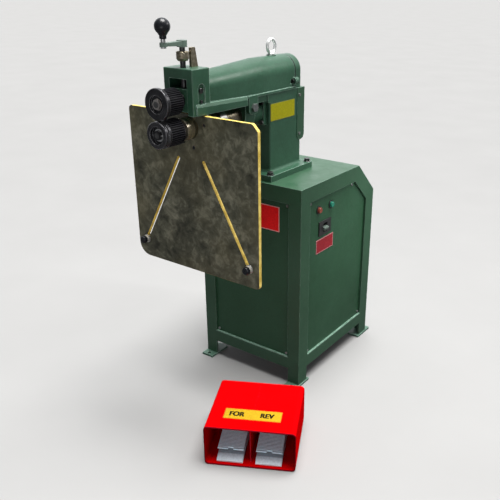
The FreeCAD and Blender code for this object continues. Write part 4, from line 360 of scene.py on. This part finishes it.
def gauge_material():
    """Dark plate with a cloudy, rubbed face and faint round scraper marks, and yellow paint on its edges."""
    finish = Finish("gauge_plate_dark", specular=0.3)
    cloud = finish.noise(16.0, detail=8.0, rough=0.66, distortion=0.6)
    broad = finish.noise(4.0, detail=3.0)
    cell = finish.node("ShaderNodeTexVoronoi", {"Vector": finish.scaled((1, 0, 0.8)), "Scale": 34.0,
                                                "Randomness": 0.8}).outputs["Distance"]
    rings = finish.ramp(cell, [(0.28, 0.0), (0.40, 1.0), (0.52, 0.0)])
    faded = finish.math("MULTIPLY", rings, finish.ramp(broad, [(0.42, 0.0), (0.62, 0.35)]))
    blotch = finish.noise(42.0, detail=5.0, rough=0.6, distortion=0.8)
    mottled = finish.math("ADD", finish.math("MULTIPLY", cloud, 0.55), finish.math("MULTIPLY", blotch, 0.45))
    tone = finish.math("ADD", mottled, finish.math("MULTIPLY", faded, 0.22))
    face = finish.ramp(tone, [(0.36, (0.018, 0.018, 0.011)), (0.50, (0.064, 0.064, 0.042)),
                              (0.64, (0.170, 0.164, 0.118))])
    face = finish.blend(finish.ramp(broad, [(0.40, 0.0), (0.62, 0.55)]), face, (0.092, 0.080, 0.040))
    yellow = finish.ramp(finish.noise(45.0, detail=4.0),
                         [(0.3, (0.44, 0.30, 0.035)), (0.7, (0.76, 0.60, 0.17))])
    facing = finish.math("ABSOLUTE", finish.part(1, finish.coordinate.outputs["Normal"]))
    on_edge = finish.math("LESS_THAN", facing, 0.7)
    mask, rounded = finish.edges(0.0016)
    scuffs = finish.ramp(finish.noise(30.0, detail=5.0), [(0.42, 0.0), (0.6, 0.8)])
    face = finish.blend(finish.math("MULTIPLY", mask, scuffs), face, (0.34, 0.21, 0.03))
    finish.feed("Base Color", finish.blend(on_edge, face, yellow))
    finish.feed("Roughness", finish.ramp(cloud, [(0.3, 0.45), (0.7, 0.62)]))
    finish.feed("Normal", finish.bump(finish.noise(220.0, detail=4.0), 0.25, 0.00015, rounded))
    return finish.material


def fastener_material():
    """Dark bolts, with dull zinc on the hanger bolts under the head, and lighter edges as painted highlight.
    """
    finish = Finish("fastener_steel", metallic=1.0)
    cloud = finish.noise(90.0, detail=4.0)
    dark = finish.ramp(cloud, [(0.3, (0.05, 0.05, 0.052)), (0.75, (0.11, 0.11, 0.11))])
    bright = finish.ramp(cloud, [(0.3, (0.22, 0.24, 0.23)), (0.75, (0.46, 0.48, 0.47))])
    mask, rounded = finish.edges(0.0006)
    base = finish.blend(finish.near(1, HANGER_BOLT_Y, HANGER_HALF), dark, bright)
    finish.feed("Base Color", finish.blend(mask, base, (0.30, 0.30, 0.30)))
    grain = finish.noise(540.0, detail=3.0)
    finish.feed("Roughness", finish.ramp(grain, [(0.3, 0.32), (0.7, 0.5)]))
    finish.feed("Normal", finish.bump(grain, 0.1, 0.00008, rounded))
    return finish.material


def rubber_black():
    """Matt black rubber."""
    finish = Finish("gland_black", specular=0.4)
    finish.feed("Base Color", finish.ramp(finish.noise(60.0), [(0.3, (0.012, 0.012, 0.013)),
                                                               (0.7, (0.03, 0.03, 0.032))]))
    finish.feed("Roughness", finish.ramp(finish.noise(200.0), [(0.3, 0.5), (0.7, 0.7)]))
    finish.feed("Normal", finish.bump(finish.noise(700.0), 0.2, 0.0001))
    return finish.material


# The edge colours of the paints below are partly wear of the paint and partly painted highlight
GREEN = (0.016, 0.057, 0.027)
GREEN_LIGHT = (0.022, 0.071, 0.036)
GREEN_EDGE = (0.20, 0.32, 0.26)

# The lighter mark_colour along the rail ledge is painted highlight
cabinet_green = paint("cabinet_green", GREEN, GREEN_LIGHT, GREEN_EDGE, grain=420.0, depth=0.00012,
                      strength=0.2, edge_size=0.0018, specular=0.5, mark=ledge_highlight,
                      mark_colour=(0.16, 0.27, 0.21))
panel_green = paint("panel_green", (0.015, 0.054, 0.025), (0.020, 0.066, 0.033), GREEN_EDGE, grain=420.0,
                    depth=0.00012, strength=0.2, specular=0.3)
# The near-black mark_colour in the cap groove is painted shade
cast_green = paint("cast_green", (0.016, 0.060, 0.032), (0.028, 0.086, 0.050), (0.28, 0.42, 0.35),
                   grain=190.0, depth=0.0006, strength=0.45, rough=(0.3, 0.46), edge_size=0.0026,
                   edge_gain=12.0, specular=0.45, mark=cap_groove_shade, mark_colour=(0.002, 0.005, 0.004))
foot_green = paint("foot_green", (0.050, 0.105, 0.075), (0.080, 0.150, 0.112), (0.34, 0.48, 0.41),
                   grain=300.0, edge_size=0.0020, edge_gain=10.0)
# A paler, greyer copy of the cast green for the crank arm: painted sheen
crank_sheen_green = paint("crank_sheen_green", (0.085, 0.130, 0.105), (0.140, 0.195, 0.165), (0.40, 0.46, 0.42),
                    grain=240.0, depth=0.0003, strength=0.4, edge_size=0.0012)
hood_red = hood_material()
motor_grey = paint("motor_grey", (0.16, 0.18, 0.19), (0.24, 0.26, 0.27), grain=200.0)
pedal_grey = paint("pedal_grey", (0.53, 0.71, 0.82), (0.64, 0.82, 0.93), (0.90, 0.92, 0.95), grain=300.0,
                   rough=(0.3, 0.45), edge_size=0.0008)
apron_grey = paint("apron_grey", (0.46, 0.52, 0.58), (0.56, 0.62, 0.69), (0.80, 0.82, 0.85), grain=300.0,
                   rough=(0.3, 0.45), edge_size=0.0008)

# The pale edge colour on the black rolls is painted highlight on their rims
upper_black = turned_metal("roll_black_upper", (0.012, 0.012, 0.014), (0.036, 0.036, 0.040), UPPER_AXIS_Z,
                           rough=(0.24, 0.38), metallic=0.6, edge=(0.48, 0.48, 0.50), edge_size=0.0011)
lower_black = turned_metal("roll_black_lower", (0.016, 0.016, 0.019), (0.050, 0.050, 0.055), LOWER_AXIS_Z,
                           rough=(0.24, 0.38), metallic=0.6, edge=(0.48, 0.48, 0.50), edge_size=0.0011)
upper_teeth = teeth_material("roll_teeth_upper", UPPER_AXIS_Z, UPPER_TIP_R)
lower_teeth = teeth_material("roll_teeth_lower", LOWER_AXIS_Z, LOWER_TIP_R)
upper_steel = turned_metal("steel_turned_upper", (0.10, 0.10, 0.10), (0.22, 0.22, 0.22), UPPER_AXIS_Z)
lower_steel = turned_metal("steel_turned_lower", (0.08, 0.08, 0.08), (0.18, 0.18, 0.18), LOWER_AXIS_Z)
washer_steel = ringed_material("roll_nut_upper", UPPER_AXIS_Z, (0.0062, 0.0150), (0.62, 0.57, 0.54),
                               (0.04, 0.04, 0.04))
ringed_steel = ringed_material("roll_nut_lower", LOWER_AXIS_Z, (0.0128, 0.0165), (0.80, 0.80, 0.80),
                               (0.055, 0.055, 0.058))
tube_steel = tube_material()
nut_steel = turned_metal("ring_nut_steel", (0.50, 0.50, 0.48), (0.68, 0.68, 0.66), LOWER_AXIS_Z)
bright_steel = plain_metal("bright_steel", (0.48, 0.48, 0.48), (0.66, 0.66, 0.66), edge=(0.8, 0.8, 0.8))
screw_steel = plain_metal("screw_steel", (0.30, 0.30, 0.30), (0.48, 0.48, 0.48), rough=(0.3, 0.5))
dark_steel = plain_metal("dark_steel", (0.05, 0.05, 0.052), (0.11, 0.11, 0.11), rough=(0.35, 0.55),
                         edge=(0.25, 0.25, 0.25))
eye_zinc = plain_metal("eye_zinc", (0.86, 0.88, 0.87), (0.96, 0.97, 0.96), rough=(0.26, 0.38), metallic=0.75)
bronze = plain_metal("dull_bronze", (0.17, 0.145, 0.10), (0.42, 0.37, 0.28), rough=(0.38, 0.6), scale=140.0,
                     edge=(0.55, 0.50, 0.40), strength=0.3)
sheet_steel = plain_metal("sheet_steel", (0.38, 0.38, 0.37), (0.5, 0.5, 0.49), rough=(0.35, 0.5),
                          stretch=(1, 9, 1))
chain_steel = plain_metal("chain_steel", (0.12, 0.11, 0.10), (0.24, 0.22, 0.2), rough=(0.3, 0.5))
knob_black = moulded("knob_black", (0.003, 0.004, 0.006), (0.009, 0.010, 0.013), rough=(0.26, 0.36),
                     specular=0.35)
control_black = moulded("control_black", (0.010, 0.010, 0.011), (0.022, 0.022, 0.022), rough=(0.35, 0.5))
button_red = moulded("button_red", (0.15, 0.032, 0.018), (0.21, 0.048, 0.030))
button_green = moulded("button_green", (0.010, 0.14, 0.09), (0.016, 0.21, 0.13))
lever_grey = moulded("lever_black", (0.05, 0.07, 0.06), (0.09, 0.12, 0.10), rough=(0.25, 0.4))
clamp_black = clamp_material()
gland_black = rubber_black()
fastener_steel = fastener_material()
gauge_dark = gauge_material()

LOOKS = {
    cabinet_green: ["cabinet_frame", "rear_lower_cover"],
    foot_green: ["foot_plates"],
    panel_green: ["front_panel", "side_panels", "rear_panel"],
    cast_green: ["column", "head_casting", "rear_cap", "lower_arm", "slide_block"],
    crank_sheen_green: ["crank_arm"],
    fastener_steel: ["casting_fasteners"],
    sheet_steel: ["base_tray"],
    motor_grey: ["motor", "gearbox", "control_box"],
    chain_steel: ["chain", "drive_sprocket", "driven_sprocket", "output_shaft"],
    screw_steel: ["cover_screws"],
    dark_steel: ["gauge_flange", "lift_screw", "plate_screws"],
    washer_steel: ["upper_roll_nut"],
    ringed_steel: ["lower_roll_nut"],
    upper_black: ["upper_disc_roll"],
    lower_black: ["lower_disc_roll"],
    upper_teeth: ["upper_crimp_roll"],
    lower_teeth: ["lower_crimp_roll"],
    upper_steel: ["upper_gear", "upper_shaft"],
    lower_steel: ["lower_gear", "lower_shaft"],
    bright_steel: ["crank_pin", "clamp_stud_left", "clamp_stud_right"],
    nut_steel: ["ring_nut"],
    tube_steel: ["arm_tube"],
    eye_zinc: ["eye_bolt"],
    bronze: ["stop_nut", "stop_post", "lower_bushes", "upper_bushes"],
    knob_black: ["crank_knob"],
    clamp_black: ["clamp_knob_left", "clamp_knob_right"],
    gauge_dark: ["gauge_plate"],
    control_black: ["button_bezels", "switch_body"],
    lever_grey: ["switch_lever"],
    gland_black: ["cable_glands"],
    button_red: ["red_button"],
    button_green: ["green_button"],
    hood_red: ["foot_guard"],
    pedal_grey: ["forward_pedal", "reverse_pedal"],
    apron_grey: ["pedal_bases"],
}


def dress(node, material):
    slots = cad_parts[node].data.materials
    slots.clear()
    slots.append(material)


for material, nodes in LOOKS.items():
    for node in nodes:
        dress(node, material)


# Printed plates, which stand for the plain CAD ones

def label_material(name, field, border):
    """A printed metal plate: field colour, and a border line by the plate's own UV map."""
    finish = Finish(name, specular=0.12)
    uv = finish.node("ShaderNodeUVMap", uv_map="plate").outputs[0]
    u = finish.math("ABSOLUTE", finish.part(0, uv))
    v = finish.math("ABSOLUTE", finish.part(1, uv))
    outer = finish.math("MAXIMUM", u, v)
    inside = finish.math("LESS_THAN", outer, 1.0)
    wear_and_painted_light = finish.ramp(finish.noise(160.0, detail=4.0), [(0.3, 0.82), (0.7, 1.06)])
    colour = finish.blend(inside, border, field)
    finish.feed("Base Color", finish.blend(1.0, colour, wear_and_painted_light, mode="MULTIPLY"))
    finish.set("Roughness", 0.4)
    finish.feed("Normal", finish.bump(finish.noise(500.0), 0.05, 0.00005))
    return finish.material


# Sizes in metres; PLATE_CHAMFER is a share of the plate's thickness
PLATE_T = 0.0009
HOOD_PLATE_T = 0.00045
PLATE_CORNER_R = 0.002
PLATE_CORNER_STEPS = 6
PLATE_CHAMFER = 0.3
RIVET_R = 0.0016
RIVET_INSET = 0.0035
RIVET_SIDES = 10
# The rounded head of a rivet, from its foot up: the share of RIVET_R, and the height over the plate
RIVET_LEVELS = ((1.0, 0.0), (0.85, 0.00035), (0.45, 0.0005))


def plate_mesh(name, width, height, thickness, border, rivets, material):
    """A thin plate with round corners and rivets, lying in XY with its back on z = 0."""
    mesh = bmesh.new()
    layer = mesh.loops.layers.uv.new("plate")
    outline = []
    for corner, (cx, cy) in enumerate(((1, 1), (-1, 1), (-1, -1), (1, -1))):
        for step in range(PLATE_CORNER_STEPS + 1):
            angle = math.radians(90 * corner + 90 * step / PLATE_CORNER_STEPS)
            outline.append((cx * (width / 2 - PLATE_CORNER_R) + PLATE_CORNER_R * math.cos(angle),
                            cy * (height / 2 - PLATE_CORNER_R) + PLATE_CORNER_R * math.sin(angle)))
    low = [mesh.verts.new((x, y, 0)) for x, y in outline]
    chamfer = thickness * PLATE_CHAMFER
    middle = [mesh.verts.new((x, y, thickness - chamfer)) for x, y in outline]
    top = [mesh.verts.new((x * (1 - 2 * chamfer / width), y * (1 - 2 * chamfer / height), thickness))
           for x, y in outline]
    count = len(outline)
    mesh.faces.new(list(reversed(low)))
    mesh.faces.new(top)
    for ring_a, ring_b in ((low, middle), (middle, top)):
        for index in range(count):
            following = (index + 1) % count
            mesh.faces.new((ring_a[index], ring_a[following], ring_b[following], ring_b[index]))
    for x, y in rivets:
        rings = []
        for share, rise in RIVET_LEVELS:
            r = RIVET_R * share
            rings.append([mesh.verts.new((x + r * math.cos(math.tau * k / RIVET_SIDES),
                                          y + r * math.sin(math.tau * k / RIVET_SIDES), thickness + rise))
                          for k in range(RIVET_SIDES)])
        mesh.faces.new(list(reversed(rings[0])))
        mesh.faces.new(rings[-1])
        for a, b in zip(rings, rings[1:]):
            for k in range(RIVET_SIDES):
                following = (k + 1) % RIVET_SIDES
                mesh.faces.new((a[k], a[following], b[following], b[k]))
    half_u = width / 2 - border
    half_v = height / 2 - border
    for face in mesh.faces:
        for loop in face.loops:
            loop[layer].uv = (loop.vert.co.x / half_u, loop.vert.co.y / half_v)
    data = bpy.data.meshes.new(name)
    mesh.to_mesh(data)
    mesh.free()
    data.materials.append(material)
    piece = bpy.data.objects.new(name, data)
    bpy.context.scene.collection.objects.link(piece)
    return piece


def stand(piece, middle, across, up):
    """Put a piece that was drawn in XY on a surface: across and up are its X and Y in the frame."""
    x = Vector(across).normalized()
    y = Vector(up).normalized()
    z = x.cross(y)
    matrix = Matrix((x, y, z)).transposed().to_4x4()
    matrix.translation = Vector(middle)
    piece.matrix_world = matrix


yellow_plate = label_material("label_yellow", (0.28, 0.265, 0.003), (0.22, 0.21, 0.03))
yellow_hood = label_material("label_yellow_hood", (0.36, 0.225, 0.008), (0.30, 0.12, 0.010))
red_plate = label_material("label_red", (0.72, 0.003, 0.004), (0.66, 0.28, 0.27))
crimson_plate = label_material("label_crimson", (0.215, 0.014, 0.020), (0.36, 0.14, 0.15))
ink_black = moulded("ink_black", (0.003, 0.003, 0.003), (0.006, 0.006, 0.006), rough=(0.5, 0.6),
                    specular=0.05)

PANEL_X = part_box("side_panels")[1].x
FRONT_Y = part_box("front_panel")[0].y
COLUMN_FACE = 0.050


def on_hood(u, v, z):
    """The point of the frame at u along the guard, v across it, and height z."""
    return HOOD_AT + HOOD_U * u + HOOD_V * v + Vector((0, 0, z))


def wall_plate(name, size, middle, across, up, material, border=0.003):
    """A plate on an upright face, with a rivet in each corner."""
    width, height = size
    rivets = [(sx * (width / 2 - RIVET_INSET), sy * (height / 2 - RIVET_INSET))
              for sx in (-1, 1) for sy in (-1, 1)]
    piece = plate_mesh(name, width, height, PLATE_T, border, rivets, material)
    stand(piece, middle, across, up)
    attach(piece, "root")
    return piece


wall_plate("side_label", (0.104, 0.048), (PANEL_X, -0.082, 0.479), (0, 1, 0), (0, 0, 1), crimson_plate)
wall_plate("front_label", (0.097, 0.084), (0.0685, FRONT_Y, 0.587), (1, 0, 0), (0, 0, 1), red_plate)
column_label = wall_plate("column_label", (0.130, 0.053), (COLUMN_FACE, -0.118, 0.9065), (0, 1, 0), (0, 0, 1),
                          yellow_plate, border=0.0016)
hood_label = plate_mesh("hood_label", 0.167, 0.047, HOOD_PLATE_T, 0.002, [], yellow_hood)
stand(hood_label, on_hood(-0.0015, -0.0455, HOOD_TOP), HOOD_U, HOOD_V)
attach(hood_label, "root")
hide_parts("label_plates")


# The two words: their height in the frame, and sizes in metres; LETTER_NARROW is a share of the width
LETTER_Z = HOOD_TOP + 0.00050
LETTER_SIZE = 0.028
LETTER_NARROW = 0.82
STROKE_STEP = 0.0012
STROKE_RISE = 0.00001


def lettering(name, text, middle):
    """Capitals as thin closed meshes on the guard, drawn several times a little apart to be bold."""
    curve = bpy.data.curves.new(name + "_curve", "FONT")
    curve.body = text
    curve.size = LETTER_SIZE
    curve.shear = 0.02
    curve.extrude = 0.00004
    curve.align_x = "CENTER"
    curve.align_y = "CENTER"
    holder = bpy.data.objects.new(name + "_holder", curve)
    bpy.context.scene.collection.objects.link(holder)
    depsgraph = bpy.context.evaluated_depsgraph_get()
    data = bpy.data.meshes.new_from_object(holder.evaluated_get(depsgraph))
    data.name = name
    data.transform(Matrix.Diagonal((LETTER_NARROW, 1, 1, 1)))
    bpy.data.objects.remove(holder)
    strokes = bmesh.new()
    for count, (right, high) in enumerate(((-1, -1), (0, -1), (1, -1), (-1, 1), (0, 1), (1, 1))):
        shift = Vector((right * STROKE_STEP, high * STROKE_STEP / 2, count * STROKE_RISE))
        data.transform(Matrix.Translation(shift))
        strokes.from_mesh(data)
        data.transform(Matrix.Translation(-shift))
    strokes.to_mesh(data)
    strokes.free()
    piece = bpy.data.objects.new(name, data)
    bpy.context.scene.collection.objects.link(piece)
    data.materials.clear()
    data.materials.append(ink_black)
    stand(piece, middle, HOOD_U, HOOD_V)
    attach(piece, "root")


lettering("letters_for", "FOR", on_hood(-0.0485, -0.0465, LETTER_Z))
lettering("letters_rev", "REV", on_hood(0.0395, -0.0465, LETTER_Z))


# Floor, backdrop, lights and camera

FLOOR_HALF = 150.0


def flat_stage():
    """A wide, level, matt floor that the machine doesn't mirror."""
    data = bpy.data.meshes.new("floor")
    corners = [(sx * FLOOR_HALF, sy * FLOOR_HALF, 0) for sx, sy in ((-1, -1), (1, -1), (1, 1), (-1, 1))]
    data.from_pydata(corners, [], [(0, 1, 2, 3)])
    floor = bpy.data.objects.new("floor", data)
    bpy.context.scene.collection.objects.link(floor)
    finish = Finish("floor_pale", specular=0.0)
    finish.set("Roughness", 0.9)
    finish.feed("Base Color", finish.ramp(finish.noise(2.0), [(0.3, 0.244), (0.7, 0.254)]))
    data.materials.append(finish.material)
    floor.visible_glossy = False


def hang(data, way, place=(0, 0, 0)):
    """Put a lamp at place, shining along way."""
    lamp = bpy.data.objects.new(data.name, data)
    lamp.location = place
    lamp.rotation_euler = way.to_track_quat("-Z", "Y").to_euler()
    bpy.context.scene.collection.objects.link(lamp)


def area_light(name, place, target, size, power, colour=(1, 1, 1)):
    """A flat lamp, size wide and high, that shines from place toward target."""
    data = bpy.data.lights.new(name, "AREA")
    data.shape = "RECTANGLE"
    data.size, data.size_y = size
    data.energy = power
    data.color = colour
    hang(data, Vector(target) - Vector(place), place)


def spot_light(name, place, target, power, width):
    """A soft round pool of light; width is its full angle in degrees."""
    data = bpy.data.lights.new(name, "SPOT")
    data.energy = power
    data.spot_size = math.radians(width)
    data.spot_blend = 1.0
    data.shadow_soft_size = 0.15
    hang(data, Vector(target) - Vector(place), place)


def sun_light(name, source, strength, spread, colour):
    """Even light over the whole floor, from the direction source; spread is its width in degrees."""
    data = bpy.data.lights.new(name, "SUN")
    data.energy = strength
    data.angle = math.radians(spread)
    data.color = colour
    hang(data, -Vector(source))


# The bright wall: the direction of its middle, the cosines between which it fades in, and the
# strength of the light far from it and at its middle; then the strength that the camera itself sees
WALL = (-0.52, 0.76, 0.39)
WALL_EDGE = 0.45
WALL_FULL = 0.95
WORLD_DIM = 0.2
WORLD_BRIGHT = 1.3
BACKDROP = 0.80


def surroundings():
    """Soft light all round, brightest from a wall behind the machine, in front of a plain pale backdrop."""
    world = bpy.data.worlds.new("studio")
    world.use_nodes = True
    nodes = world.node_tree.nodes
    links = world.node_tree.links
    background = next(n for n in nodes if n.type == "BACKGROUND")
    toward = nodes.new("ShaderNodeVectorMath")
    toward.operation = "DOT_PRODUCT"
    toward.inputs[1].default_value = WALL
    links.new(nodes.new("ShaderNodeTexCoord").outputs["Generated"], toward.inputs[0])
    wall = nodes.new("ShaderNodeMapRange")
    wall.interpolation_type = "SMOOTHSTEP"
    for socket, value in (("From Min", WALL_EDGE), ("From Max", WALL_FULL), ("To Min", WORLD_DIM),
                          ("To Max", WORLD_BRIGHT)):
        wall.inputs[socket].default_value = value
    links.new(toward.outputs["Value"], wall.inputs["Value"])
    seen = nodes.new("ShaderNodeMix")
    seen.inputs["B"].default_value = BACKDROP
    links.new(nodes.new("ShaderNodeLightPath").outputs["Is Camera Ray"], seen.inputs["Factor"])
    links.new(wall.outputs["Result"], seen.inputs["A"])
    links.new(seen.outputs["Result"], background.inputs["Strength"])
    background.inputs["Color"].default_value = (0.95, 0.97, 1.0, 1.0)
    bpy.context.scene.world = world
    sun_light("overhead", (0.12, 0.10, 1.0), 8.6, 40.0, (1.0, 0.99, 0.97))
    area_light("side", (1.15, 0.75, 1.95), (0.2, 0.05, 0.7), (0.7, 0.5), 11.0, (1.0, 0.98, 0.96))
    spot_light("cabinet_side", (2.0, 1.0, 1.45), (0.2, 0.17, 0.55), 170.0, 19.0)
    area_light("front", (1.05, -2.05, 0.75), (0.25, -0.55, 0.05), (0.9, 0.7), 5.5)


# The camera: its place, its three angles, and its focal length, the picture's size and the column of
# the optical axis in pixels
CAMERA_AT = (1.2290, -1.7900, 1.2891)
CAMERA_AZIMUTH = math.radians(34.433)
CAMERA_ELEVATION = math.radians(22.756)
CAMERA_ROLL = math.radians(0.561)
FOCAL_PX = 649.515
IMAGE_PX = 500
CENTRE_PX = 290


def camera():
    """The camera that looks at the machine as the photo does."""
    data = bpy.data.cameras.new("camera")
    data.sensor_width = 36.0
    data.lens = data.sensor_width * FOCAL_PX / IMAGE_PX
    data.shift_x = (IMAGE_PX / 2 - CENTRE_PX) / IMAGE_PX
    back = Vector((math.sin(CAMERA_AZIMUTH) * math.cos(CAMERA_ELEVATION),
                   -math.cos(CAMERA_AZIMUTH) * math.cos(CAMERA_ELEVATION), math.sin(CAMERA_ELEVATION)))
    right = (-back).cross(Vector((0, 0, 1))).normalized()
    up = right.cross(-back)
    rolled_right = right * math.cos(CAMERA_ROLL) + up * math.sin(CAMERA_ROLL)
    rolled_up = up * math.cos(CAMERA_ROLL) - right * math.sin(CAMERA_ROLL)
    matrix = Matrix((rolled_right, rolled_up, back)).transposed().to_4x4()
    matrix.translation = Vector(CAMERA_AT)
    eye = bpy.data.objects.new("camera", data)
    eye.matrix_world = matrix
    bpy.context.scene.collection.objects.link(eye)
    bpy.context.scene.camera = eye


flat_stage()
surroundings()
camera()
bpy.context.scene.view_settings.view_transform = "Standard"
